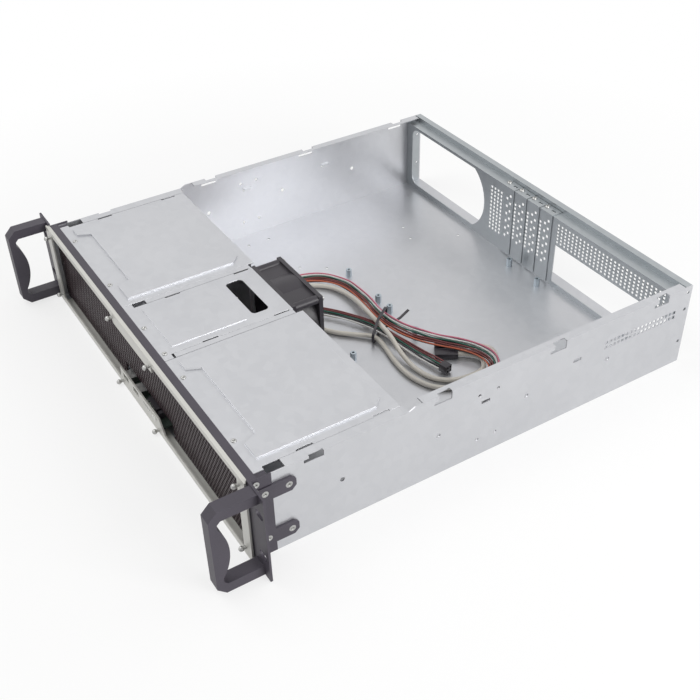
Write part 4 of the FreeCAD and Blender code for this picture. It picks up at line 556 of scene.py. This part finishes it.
def lay_strands(name):
    """A bunch of thin wires, flat and two deep, which opens out a little after the tie."""
    spread_from, spread_to = OPENING[name]
    line = centre_line(name)
    colours = STRANDS[name]
    columns = math.ceil(len(colours) / WIRE_ROWS)
    draw = random.Random(name)
    mesh = bmesh.new()
    for index in range(len(colours)):
        row, column = divmod(index, columns)
        start = (column - (columns - 1) / 2) * WIRE * COLUMN_STEP
        depth = (row - (WIRE_ROWS - 1) / 2) * WIRE * ROW_STEP
        waves = [(draw.uniform(*WAVE_LONG), draw.uniform(0, math.tau), draw.uniform(*WAVE_HIGH))
                 for _ in range(2)]
        gone = 0
        strand = []
        for step, point in enumerate(line):
            before = line[max(step - 1, 0)]
            gone += (point - before).length
            ahead = (line[min(step + 1, len(line) - 1)] - before).normalized()
            side = ahead.cross(UP).normalized()
            across = UP * math.sin(BUNCH_LEAN) - side * math.cos(BUNCH_LEAN)
            through = UP * math.cos(BUNCH_LEAN) + side * math.sin(BUNCH_LEAN)
            open_share = min(max((gone - spread_from) / (spread_to - spread_from), 0), 1)
            wander = sum(math.sin(gone / wave * math.tau + phase) * size for wave, phase, size in waves)
            spread = 1 + OPENS_BY * open_share
            strand.append(point + across * (start * spread + wander * WIRE * WANDER_ACROSS)
                          + through * (depth + wander * WIRE * WANDER_THROUGH))
        tube(mesh, strand, WIRE / 2, WIRE_SIDES, index)
    data = bpy.data.meshes.new(name)
    mesh.to_mesh(data)
    mesh.free()
    item = add_piece(name, data, "case", None, *(WIRE_JACKETS[colour] for colour in colours), smooth=60)
    return item, line


# %% Lay the four cables
WIRE_JACKETS = {name: jacket(f"wire_{name}", *pair) for name, pair in WIRE_COLOURS.items()}
for name in ("data_cord_a", "data_cord_b"):
    cable = cable_curve(name, DATA_CABLE / 2)
    cable.data.materials.append(FINISHES["cable_beige"])
    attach(cable, "case")
for name in STRANDS:
    strands, line = lay_strands(name)

# %% [markdown]
# The plugs
#
# A data plug is a flat shell with flush grip bars and two rows of sockets. A wire plug is a small square
# housing with four. The sockets could be dark squares drawn on the end, but pressed in, they also have
# their own shadow from the side. One function makes both kinds, and only its sizes differ.

# %% Shape a plug
PLUG_EDGE = 0.4 * MM
SOCKET_DEEP = 3 * MM
RIB_FIRST = 0.14
RIB_STEP = 0.085
RIB_WIDE = 1 / 40
RIB_PROUD = 0.0001 * MM


def box_faces(mesh, low, high):
    """A plain block inside a mesh. Returns its faces."""
    corners = [mesh.verts.new((x, y, z)) for x in (low[0], high[0]) for y in (low[1], high[1])
               for z in (low[2], high[2])]
    order = ((0, 1, 3, 2), (4, 6, 7, 5), (0, 4, 5, 1), (2, 3, 7, 6), (0, 2, 6, 4), (1, 5, 7, 3))
    return [mesh.faces.new([corners[index] for index in face]) for face in order]


def bevelled(mesh, width, segments=2):
    """Rounds every sharp edge of a mesh."""
    mesh.normal_update()
    edges = [edge for edge in mesh.edges if edge.is_manifold and edge.calc_face_angle(0) > 0.5]
    bmesh.ops.bevel(mesh, geom=edges, offset=width, segments=segments, profile=0.5, affect="EDGES",
                    clamp_overlap=True)


def sunk(mesh, face, places, side, depth):
    """Square sockets pressed into one face of a plug, whose faces then replace it."""
    normal = face.normal.copy()
    middle = face.calc_center_median()
    loop = list(face.verts)
    mesh.faces.remove(face)
    edges = [mesh.edges.get((one, other)) for one, other in zip(loop, loop[1:] + loop[:1])]
    for across, up in places:
        ring = [mesh.verts.new(middle + Vector((0, across + dy * side / 2, up + dz * side / 2)))
                for dy, dz in ((-1, -1), (1, -1), (1, 1), (-1, 1))]
        floor = [mesh.verts.new(vert.co - normal * depth) for vert in ring]
        for turn in range(4):
            after = (turn + 1) % 4
            edges.append(mesh.edges.new((ring[turn], ring[after])))
            mesh.faces.new((ring[turn], ring[after], floor[after], floor[turn]))
        mesh.faces.new(floor)
    bmesh.ops.triangle_fill(mesh, edges=edges, use_beauty=True)


def plug(name, cable, long, wide, tall, ribs, sockets, side):
    """A plug at a cable's end, in line with its last run."""
    mesh = bmesh.new()
    for face in box_faces(mesh, (0, -wide / 2, -tall / 2), (long, wide / 2, tall / 2)):
        face.normal_update()
    bevelled(mesh, PLUG_EDGE)
    mesh.normal_update()
    end = max(mesh.faces, key=lambda face: face.calc_center_median().x * 100 + face.calc_area())
    sunk(mesh, end, sockets, side, SOCKET_DEEP)
    for number in range(ribs):
        start = long * (RIB_FIRST + number * RIB_STEP)
        box_faces(mesh, (start, -wide / 2 - RIB_PROUD, -tall / 2 - RIB_PROUD),
                  (start + long * RIB_WIDE, wide / 2 + RIB_PROUD, tall / 2 + RIB_PROUD))
    bmesh.ops.recalc_face_normals(mesh, faces=mesh.faces)
    data = bpy.data.meshes.new(name)
    mesh.to_mesh(data)
    mesh.free()
    last, before = (place(*ROUTES[cable][index]) for index in (-1, -2))
    ahead = last - before
    turn = Matrix.Rotation(math.atan2(ahead.y, ahead.x), 4, "Z")
    data.transform(Matrix.Translation(last) @ turn)
    return add_piece(name, data, "case", "black_plastic", smooth=40)


# %% [markdown]
# The cable tie
#
# A tie is a flat strap pulled round the bunch, with a head and a cut tail. A bevelled curve can twist, so
# the strap's four corners are set along its path, and its width always points the same way.

# %% Pull the tie round the cables
TIE_WIDE = 2.6 * MM
TIE_THICK = 1.1 * MM
TIE_LEAN = math.radians(127)
TIE_INNER = ((-17.6, 2.5), (7, 2.4), (20, 8), (20, 19.6), (-3, 19.6), (-17.6, 10.6))
TIE_TAIL = ((20.4, 245.8, 2.2), (23.5, 254, 6), (26.5, 264.5, 12.5), (28.5, 273, 20))
TIE_HEAD = (4.6, 3.4, 4)
TIE_HEAD_OUT = 9 * MM
TIE_HEAD_LOW = 2.4 * MM
TIE_MIDDLE = (24, 241, 0)
TIE_CORNER = 2.6
TIE_CENTRE_OUT = 0.5
TIE_HALF_UP = 9


def strap(mesh, points, across, closed):
    """A flat strap along a list of points, with its width along across."""
    rings = []
    last = len(points) - 1
    for step, point in enumerate(points):
        after = points[(step + 1) % len(points)] if closed else points[min(step + 1, last)]
        before = points[step - 1] if closed or step else points[0]
        out = (after - before).cross(across).normalized() * TIE_THICK / 2
        rings.append([mesh.verts.new(point + out * thick + across * wide * TIE_WIDE / 2)
                      for thick, wide in ((1, 1), (1, -1), (-1, -1), (-1, 1))])
    pairs = list(zip(rings, rings[1:])) + ([(rings[-1], rings[0])] if closed else [])
    for near, far in pairs:
        for turn in range(4):
            after = (turn + 1) % 4
            mesh.faces.new((near[turn], near[after], far[after], far[turn]))
    if not closed:
        mesh.faces.new(rings[0])
        mesh.faces.new(list(reversed(rings[-1])))


def rounded(corners, radius, steps=4):
    """A closed outline's points, with each corner replaced by a short arc."""
    points = []
    for index, corner in enumerate(corners):
        here = Vector(corner)
        ends = [here + (Vector(corners[(index + turn) % len(corners)]) - here).normalized() * radius
                for turn in (-1, 1)]
        for step in range(steps + 1):
            share = step / steps
            points.append(ends[0] * (1 - share) ** 2 + here * 2 * share * (1 - share) + ends[1] * share ** 2)
    return points


mesh = bmesh.new()
loop = [(out + math.copysign(TIE_CENTRE_OUT, out), up + math.copysign(TIE_CENTRE_OUT, up - TIE_HALF_UP))
        for out, up in TIE_INNER]
run = Vector((math.cos(TIE_LEAN), math.sin(TIE_LEAN), 0))
across = Vector((run.y, -run.x, 0))
middle = place(*TIE_MIDDLE)
ring = [middle + run * point.x * MM + UP * point.y * MM for point in rounded(loop, TIE_CORNER)]
strap(mesh, ring, across, True)
strap(mesh, [place(*point) for point in TIE_TAIL], Vector((1, 0, 0)), False)
head_long, head_wide, head_tall = (part * MM for part in TIE_HEAD)
faces = box_faces(mesh, (-head_long / 2, -head_wide / 2, 0), (head_long / 2, head_wide / 2, head_tall))
head = {vert for face in faces for vert in face.verts}
turn_head = Matrix((run, across, UP)).transposed()
for vert in head:
    vert.co = middle + run * TIE_HEAD_OUT + UP * TIE_HEAD_LOW + turn_head @ vert.co
bmesh.ops.recalc_face_normals(mesh, faces=mesh.faces)
data = bpy.data.meshes.new("cable_tie")
mesh.to_mesh(data)
mesh.free()
tie = add_piece("cable_tie", data, "case", "black_plastic", smooth=30)

print("tie added:", tie.name)

SOCKET_PITCH = 1.9
SOCKET_UP = 1.3
TWO_ROWS = [((column - 2) * SOCKET_PITCH * MM, row * SOCKET_UP * MM)
            for column in range(5) for row in (-1, 1)]
FOUR = [(across * SOCKET_PITCH * MM, up * SOCKET_PITCH * MM) for across in (-1, 1) for up in (-1, 1)]
DATA_PLUG = {"long": 22 * MM, "wide": 10.5 * MM, "tall": 6 * MM, "ribs": 5, "sockets": TWO_ROWS,
             "side": 1.1 * MM}
WIRE_PLUG = {"long": 9 * MM, "wide": 8.2 * MM, "tall": 8.2 * MM, "ribs": 0, "sockets": FOUR,
             "side": 2.2 * MM}
for name in ("data_cord_a", "data_cord_b"):
    plug(name.replace("cord", "plug"), name, **DATA_PLUG)
for name in ("wire_strands_a", "wire_strands_b"):
    plug(name.replace("strands", "plug"), name, **WIRE_PLUG)

# %% [markdown]
# The fine front mesh
#
# Staggered six-sided holes fill a plate around the control panel. They could be cut by booleans, but so
# many cuts take long and can leave thin faces. Here one sheet is drawn cell by cell, each with its hole left
# open, and the whole sheet is then given its thickness.

# %% Perforate the front mesh
CELL_WIDE = 4.3 * MM
CELL_TALL = 3.75 * MM
CELL_HOLE = 1.75 * MM
PANEL_GAP = 3 * MM
PANEL_LEFT = -46
PANEL_RIGHT = 52
PANEL_TOP = 17.2


def perforated(name, low, high, notch_low, notch_high, thick):
    """A plate across x and z with rows of staggered hexagonal holes, open at a notch in its lower edge."""
    columns = round((high.x - low.x) / CELL_WIDE)
    rows = round((high.z - low.z) / CELL_TALL)
    wide = (high.x - low.x) / columns
    tall = (high.z - low.z) / rows
    mesh = bmesh.new()

    def filled(left, right, floor):
        points = ((left, floor), (right, floor), (right, floor + tall), (left, floor + tall))
        mesh.faces.new([mesh.verts.new((x, low.y, z)) for x, z in points])

    for row in range(rows):
        floor = low.z + row * tall
        shift = wide / 2 if row % 2 else 0
        if shift:
            filled(low.x, low.x + shift, floor)
            filled(high.x - shift, high.x, floor)
        for column in range(columns - (row % 2)):
            left = low.x + shift + column * wide
            if left + wide > notch_low.x and left < notch_high.x and floor < notch_high.z:
                continue
            outer = [(0, 0), (0.5, 0), (1, 0), (1, 1), (0.5, 1), (0, 1)]
            rim = [mesh.verts.new((left + u * wide, low.y, floor + v * tall)) for u, v in outer]
            middle = Vector((left + wide / 2, low.y, floor + tall / 2))
            hole = [mesh.verts.new(middle + Vector((math.cos(angle), 0, math.sin(angle))) * CELL_HOLE)
                    for angle in (math.radians(210 + 60 * turn) for turn in range(6))]
            for turn in range(6):
                after = (turn + 1) % 6
                mesh.faces.new((rim[turn], rim[after], hole[after], hole[turn]))
    bmesh.ops.remove_doubles(mesh, verts=mesh.verts, dist=0.01 * MM)
    bmesh.ops.recalc_face_normals(mesh, faces=mesh.faces)
    bmesh.ops.solidify(mesh, geom=mesh.faces[:], thickness=thick)
    bmesh.ops.recalc_face_normals(mesh, faces=mesh.faces)
    lowest = min(vert.co.y for vert in mesh.verts)
    bmesh.ops.translate(mesh, verts=mesh.verts, vec=(0, low.y - lowest, 0))
    data = bpy.data.meshes.new(name)
    mesh.to_mesh(data)
    mesh.free()
    return add_piece(name, data, "case", "mesh_black")


mesh_low, mesh_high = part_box("front_mesh")
panel_low = place(PANEL_LEFT, 0, 0) - Vector((PANEL_GAP, 0, 0))
panel_high = place(PANEL_RIGHT, 0, PANEL_TOP) + Vector((PANEL_GAP, 0, 0))
thick = mesh_high.y - mesh_low.y
hexagons = perforated("front_mesh_hexagons", mesh_low, mesh_high, panel_low, panel_high, thick)
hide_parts("front_mesh")
print("mesh faces:", len(hexagons.data.polygons))

# %% [markdown]
# Screws and studs
#
# Each one stands where its plain CAD solid is. A Screw modifier could turn an outline too, but all except
# the studs need a cross recess in the head, so turning and recess are written into one mesh. An outline's
# radii are shares of the widest one, and its heights are shares of that or millimetres.

# %% Find the solids and turn an outline
TURN_STEPS = 28
RECESS_WIDE = 0.32
RECESS_LONG = 1.25
RECESS_DEEP = 0.9 * MM
RECESS_TAPER = 0.55
TURN_ANGLES = [math.tau * step / TURN_STEPS for step in range(TURN_STEPS)]


def solids_of(node):
    """The box of each separate solid of a CAD node."""
    mesh = bmesh.new()
    mesh.from_mesh(frame["nodes"][node].data)
    bmesh.ops.remove_doubles(mesh, verts=mesh.verts, dist=0.001 * MM)
    left = set(mesh.verts)
    boxes = []
    while left:
        group, edge = set(), [left.pop()]
        while edge:
            vert = edge.pop()
            group.add(vert)
            for link in vert.link_edges:
                other = link.other_vert(vert)
                if other in left:
                    left.discard(other)
                    edge.append(other)
        places = [vert.co for vert in group]
        boxes.append((Vector(min(point[axis] for point in places) for axis in range(3)),
                      Vector(max(point[axis] for point in places) for axis in range(3))))
    mesh.free()
    return sorted(boxes, key=lambda pair: tuple(round(part, 5) for part in pair[0]))


def cross(size):
    """The outline of a cross recess, counter-clockwise."""
    arm, half = size * RECESS_LONG / 2, size * RECESS_WIDE / 2
    quarter = [(arm, -half), (arm, half), (half, half)]
    return [(x * c - y * s, x * s + y * c) for c, s in ((1, 0), (0, 1), (-1, 0), (0, -1)) for x, y in quarter]


def turned(mesh, at, axis, outline, recess=0.0):
    """A turned solid in a mesh: its outline is pairs of radius and height along the axis, from its foot
    up, and a recess of that size is cut into its top."""
    lift = UP.rotation_difference(axis).to_matrix()
    rings = []
    for radius, height in outline:
        ring = [Vector((math.cos(angle) * radius, math.sin(angle) * radius, height)) for angle in TURN_ANGLES]
        rings.append([mesh.verts.new(at + lift @ point) for point in ring])
    mesh.faces.new(list(reversed(rings[0])))
    for near, far in zip(rings, rings[1:]):
        for step in range(TURN_STEPS):
            after = (step + 1) % TURN_STEPS
            mesh.faces.new((near[step], near[after], far[after], far[step]))
    if not recess:
        mesh.faces.new(rings[-1])
        return
    top = outline[-1][1]
    rim = [mesh.verts.new(at + lift @ Vector((x, y, top))) for x, y in cross(recess)]
    low = [Vector((x * RECESS_TAPER, y * RECESS_TAPER, top - RECESS_DEEP)) for x, y in cross(recess)]
    floor = [mesh.verts.new(at + lift @ point) for point in low]
    edges = []
    for ring in (rings[-1], rim):
        for one, other in zip(ring, ring[1:] + ring[:1]):
            edges.append(mesh.edges.get((one, other)) or mesh.edges.new((one, other)))
    bmesh.ops.triangle_fill(mesh, edges=edges, use_beauty=True)
    for step in range(len(rim)):
        after = (step + 1) % len(rim)
        mesh.faces.new((rim[step], rim[after], floor[after], floor[step]))
    mesh.faces.new(floor)


def along(box, axis):
    """Where a solid's foot is on its axis, how long it is and how wide its widest part is."""
    low, high = box
    middle = (low + high) / 2
    reach = abs((high - low).dot(axis)) / 2
    other = max((high - low)[index] for index in range(3) if abs(axis[index]) < 0.5)
    return middle - axis * reach, reach * 2, other / 2


# %% Draw the outlines


def pan_head(long, wide):
    """A shank below a low domed head."""
    shank, head = wide * 0.52, long - 0.32 * wide * 2
    return [(shank, 0), (shank, head), (wide * 0.97, head), (wide * 0.97, head + wide * 0.22),
            (wide * 0.86, long - wide * 0.14), (wide * 0.66, long)]


def flat_head(long, wide):
    """A shank below a thin head with a rounded rim."""
    shank, head = wide * 0.6, long - 0.8 * MM
    return [(shank, 0), (shank, head), (wide * 0.97, head), (wide * 0.97, head + 0.4 * MM),
            (wide * 0.9, long - 0.12 * MM), (wide * 0.8, long)]


def sunk_head(long, wide):
    """A countersunk head whose face is flush, above its shank."""
    shank, cone = wide * 0.55, long - 1.2 * MM
    return [(shank, 0), (shank, cone), (wide * 0.97, long - 0.25 * MM), (wide * 0.97, long - 0.06 * MM),
            (wide * 0.9, long)]


def ball_stud(long, wide):
    """A neck that ends in a ball."""
    neck = wide * 0.62
    middle = long - wide
    ball = [(wide * math.cos(angle), middle + wide * math.sin(angle))
            for angle in (math.radians(step) for step in range(-48, 89, 12))]
    return [(neck, 0), (neck, middle - wide * 0.78)] + ball


def bolt_and_nut(long, wide):
    """A screw through the fan, with its head at the top and a nut at its foot."""
    shank = wide * 0.6
    return [(wide * 0.95, 0), (wide * 0.97, 0.3 * MM), (wide * 0.97, 2 * MM), (shank, 2 * MM),
            (shank, long - 2.2 * MM), (wide * 0.97, long - 2.2 * MM), (wide * 0.97, long - 0.9 * MM),
            (wide * 0.8, long - 0.25 * MM), (wide * 0.55, long)]


# %% Turn the screws and studs
FRONT = Vector((0, -1, 0))
REAR = Vector((0, 1, 0))
SIDE = Vector((1, 0, 0))
FASTENERS = (
    ("slot_cover_screws", pan_head, lambda box: UP, 0.75),
    ("bay_cover_screws", flat_head, lambda box: UP, 0.8),
    ("bezel_studs", ball_stud, lambda box: FRONT, 0),
    ("ear_bracket_screws", sunk_head, lambda box: SIDE if box[0].x > 0 else -SIDE, 0.85),
    ("handle_screws", pan_head, lambda box: REAR, 0.8),
    ("fan_screws", bolt_and_nut, lambda box: REAR, 0.6),
)
for node, outline, axis_of, recess in FASTENERS:
    mesh = bmesh.new()
    boxes = solids_of(node)
    for box in boxes:
        axis = axis_of(box)
        foot, long, wide = along(box, axis)
        turned(mesh, foot, axis, outline(long, wide), wide * recess)
    bmesh.ops.recalc_face_normals(mesh, faces=mesh.faces)
    data = bpy.data.meshes.new(f"{node}_turned")
    mesh.to_mesh(data)
    mesh.free()
    item = add_piece(f"{node}_turned", data, "case", SLOTS[node], smooth=35)
    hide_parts(node)
    foot, long, wide = along(boxes[0], axis_of(boxes[0]))
    print(node, len(boxes), "of them, each", round(long / MM, 1), "mm long, radius", round(wide / MM, 1))

# %% [markdown]
# The fan's sleeves and webs
#
# Plastic sleeves stand around the fan's long screws between its two flanges. A short web runs from each
# upper sleeve's wall into the wall of the round duct, and stays out of the duct and the screws' holes. A
# drilled block would need a boolean, so a sleeve is four rings of points, two at each end.

# %% Make the sleeves and the webs
FAN_FLANGE = 4 * MM
SLEEVE = 4.1 * MM
SLEEVE_BORE = 2.3 * MM
WEB_THICK = 1.3 * MM
WEB_DROP = 2.6 * MM
WEB_INNER = 13.5 * MM
WEB_INTO_SLEEVE = 3 * MM
fan_low, fan_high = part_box("fan_frame")
inner_front, inner_rear = fan_low.y + FAN_FLANGE, fan_high.y - FAN_FLANGE
mesh = bmesh.new()
fan_middle = (fan_low.x + fan_high.x) / 2
screw_reach = 0
for low, high in solids_of("fan_screws"):
    middle = (low + high) / 2
    screw_reach = max(screw_reach, middle.x - fan_middle)
    rings = []
    for y, radius in ((inner_front, SLEEVE_BORE), (inner_front, SLEEVE),
                      (inner_rear, SLEEVE), (inner_rear, SLEEVE_BORE)):
        rings.append([mesh.verts.new((middle.x + math.cos(angle) * radius, y,
                                      middle.z + math.sin(angle) * radius)) for angle in TURN_ANGLES])
    for near, far in zip(rings, rings[1:] + rings[:1]):
        for step in range(TURN_STEPS):
            after = (step + 1) % TURN_STEPS
            mesh.faces.new((near[step], near[after], far[after], far[step]))
web_top = fan_high.z - WEB_DROP
for side in (-1, 1):
    ends = sorted((fan_middle + side * WEB_INNER, fan_middle + side * (screw_reach - WEB_INTO_SLEEVE)))
    box_faces(mesh, (ends[0], inner_front, web_top - WEB_THICK), (ends[1], inner_rear, web_top))
bmesh.ops.recalc_face_normals(mesh, faces=mesh.faces)
data = bpy.data.meshes.new("fan_sleeves")
mesh.to_mesh(data)
mesh.free()
add_piece("fan_sleeves", data, "case", "black_plastic", smooth=35)
print("fan sleeves and webs added")

# %% [markdown]
# The stage
#
# A pale floor fades into a white surround, and three soft lamps stand in front, at the right and behind.
# Stronger lamps would whiten the floor too, but they would also burn out the pale sheet. So the white is
# added only where the camera sees the floor and the surround, or metal and glass show them.

# %% Set the stage and the lamps
FLOOR_HALF = 3.0
FLOOR_HEIGHT = -0.2 * MM
FLOOR_WHITE = 0.72
FADE_FROM = 0.45
FADE_LONG = 0.9
SKY = 0.55


def light_paths(graph):
    """1 where the camera sees a surface directly, in a mirror or through glass, and 0 for other light."""
    outs = {out.name: Value(graph, out) for out in graph.add("ShaderNodeLightPath").socket.node.outputs}
    mirrored = graph.math("MAXIMUM", outs["Is Glossy Ray"], outs["Is Transmission Ray"])
    return graph.math("MAXIMUM", outs["Is Camera Ray"], mirrored)


floor_mesh = bpy.data.meshes.new("floor")
corners = [(x * FLOOR_HALF, y * FLOOR_HALF, FLOOR_HEIGHT) for x, y in ((-1, -1), (1, -1), (1, 1), (-1, 1))]
floor_mesh.from_pydata(corners, [], [(0, 1, 2, 3)])
floor = bpy.data.objects.new("floor", floor_mesh)
bpy.context.scene.collection.objects.link(floor)
floor_material, graph = material("pale_floor")
rays = light_paths(graph)
far = graph.add("ShaderNodeVectorMath", {"operation": "LENGTH"}, output=1)
graph.feed(far.socket.node.inputs[0], graph.place())
paper = graph.add("ShaderNodeBsdfPrincipled", Base_Color=(0.86, 0.86, 0.855, 1), Roughness=0.85)
white = graph.add("ShaderNodeEmission", Color=(1, 1, 1, 1), Strength=1.0)
tint = graph.add("ShaderNodeMixShader")
fade = graph.math("MULTIPLY_ADD", far, 1 / FADE_LONG, FLOOR_WHITE - FADE_FROM / FADE_LONG, clamp=True)
share = graph.math("MAXIMUM", fade, FLOOR_WHITE) * rays
for socket, value in zip(tint.socket.node.inputs, (share, paper, white)):
    graph.feed(socket, value)
graph.surface(tint)
floor_mesh.materials.append(floor_material)

world = bpy.data.worlds.new("surround")
bpy.context.scene.world = world
graph = Graph(world)
seen = light_paths(graph)
sky = graph.add("ShaderNodeBackground", Color=(1, 1, 1, 1), Strength=SKY + seen * (1 - SKY))
graph.add("ShaderNodeOutputWorld", Surface=sky)

LAMPS = (
    ("key", (-0.9, -0.9, 1.9), 1.5, 16),
    ("side", (2.0, 0.7, 0.9), 1.3, 34),
    ("rear", (0.2, 1.9, 1.5), 1.4, 8),
)
for name, at, size, watts in LAMPS:
    lamp = bpy.data.objects.new(name, bpy.data.lights.new(name, "AREA"))
    lamp.data.size = size
    lamp.data.energy = watts
    lamp.location = at
    lamp.rotation_mode = "QUATERNION"
    lamp.rotation_quaternion = (-Vector(at)).to_track_quat("-Z", "Y")
    bpy.context.scene.collection.objects.link(lamp)
bpy.context.scene.view_settings.view_transform = "Standard"
print("lamps:", ", ".join(name for name, *_ in LAMPS))
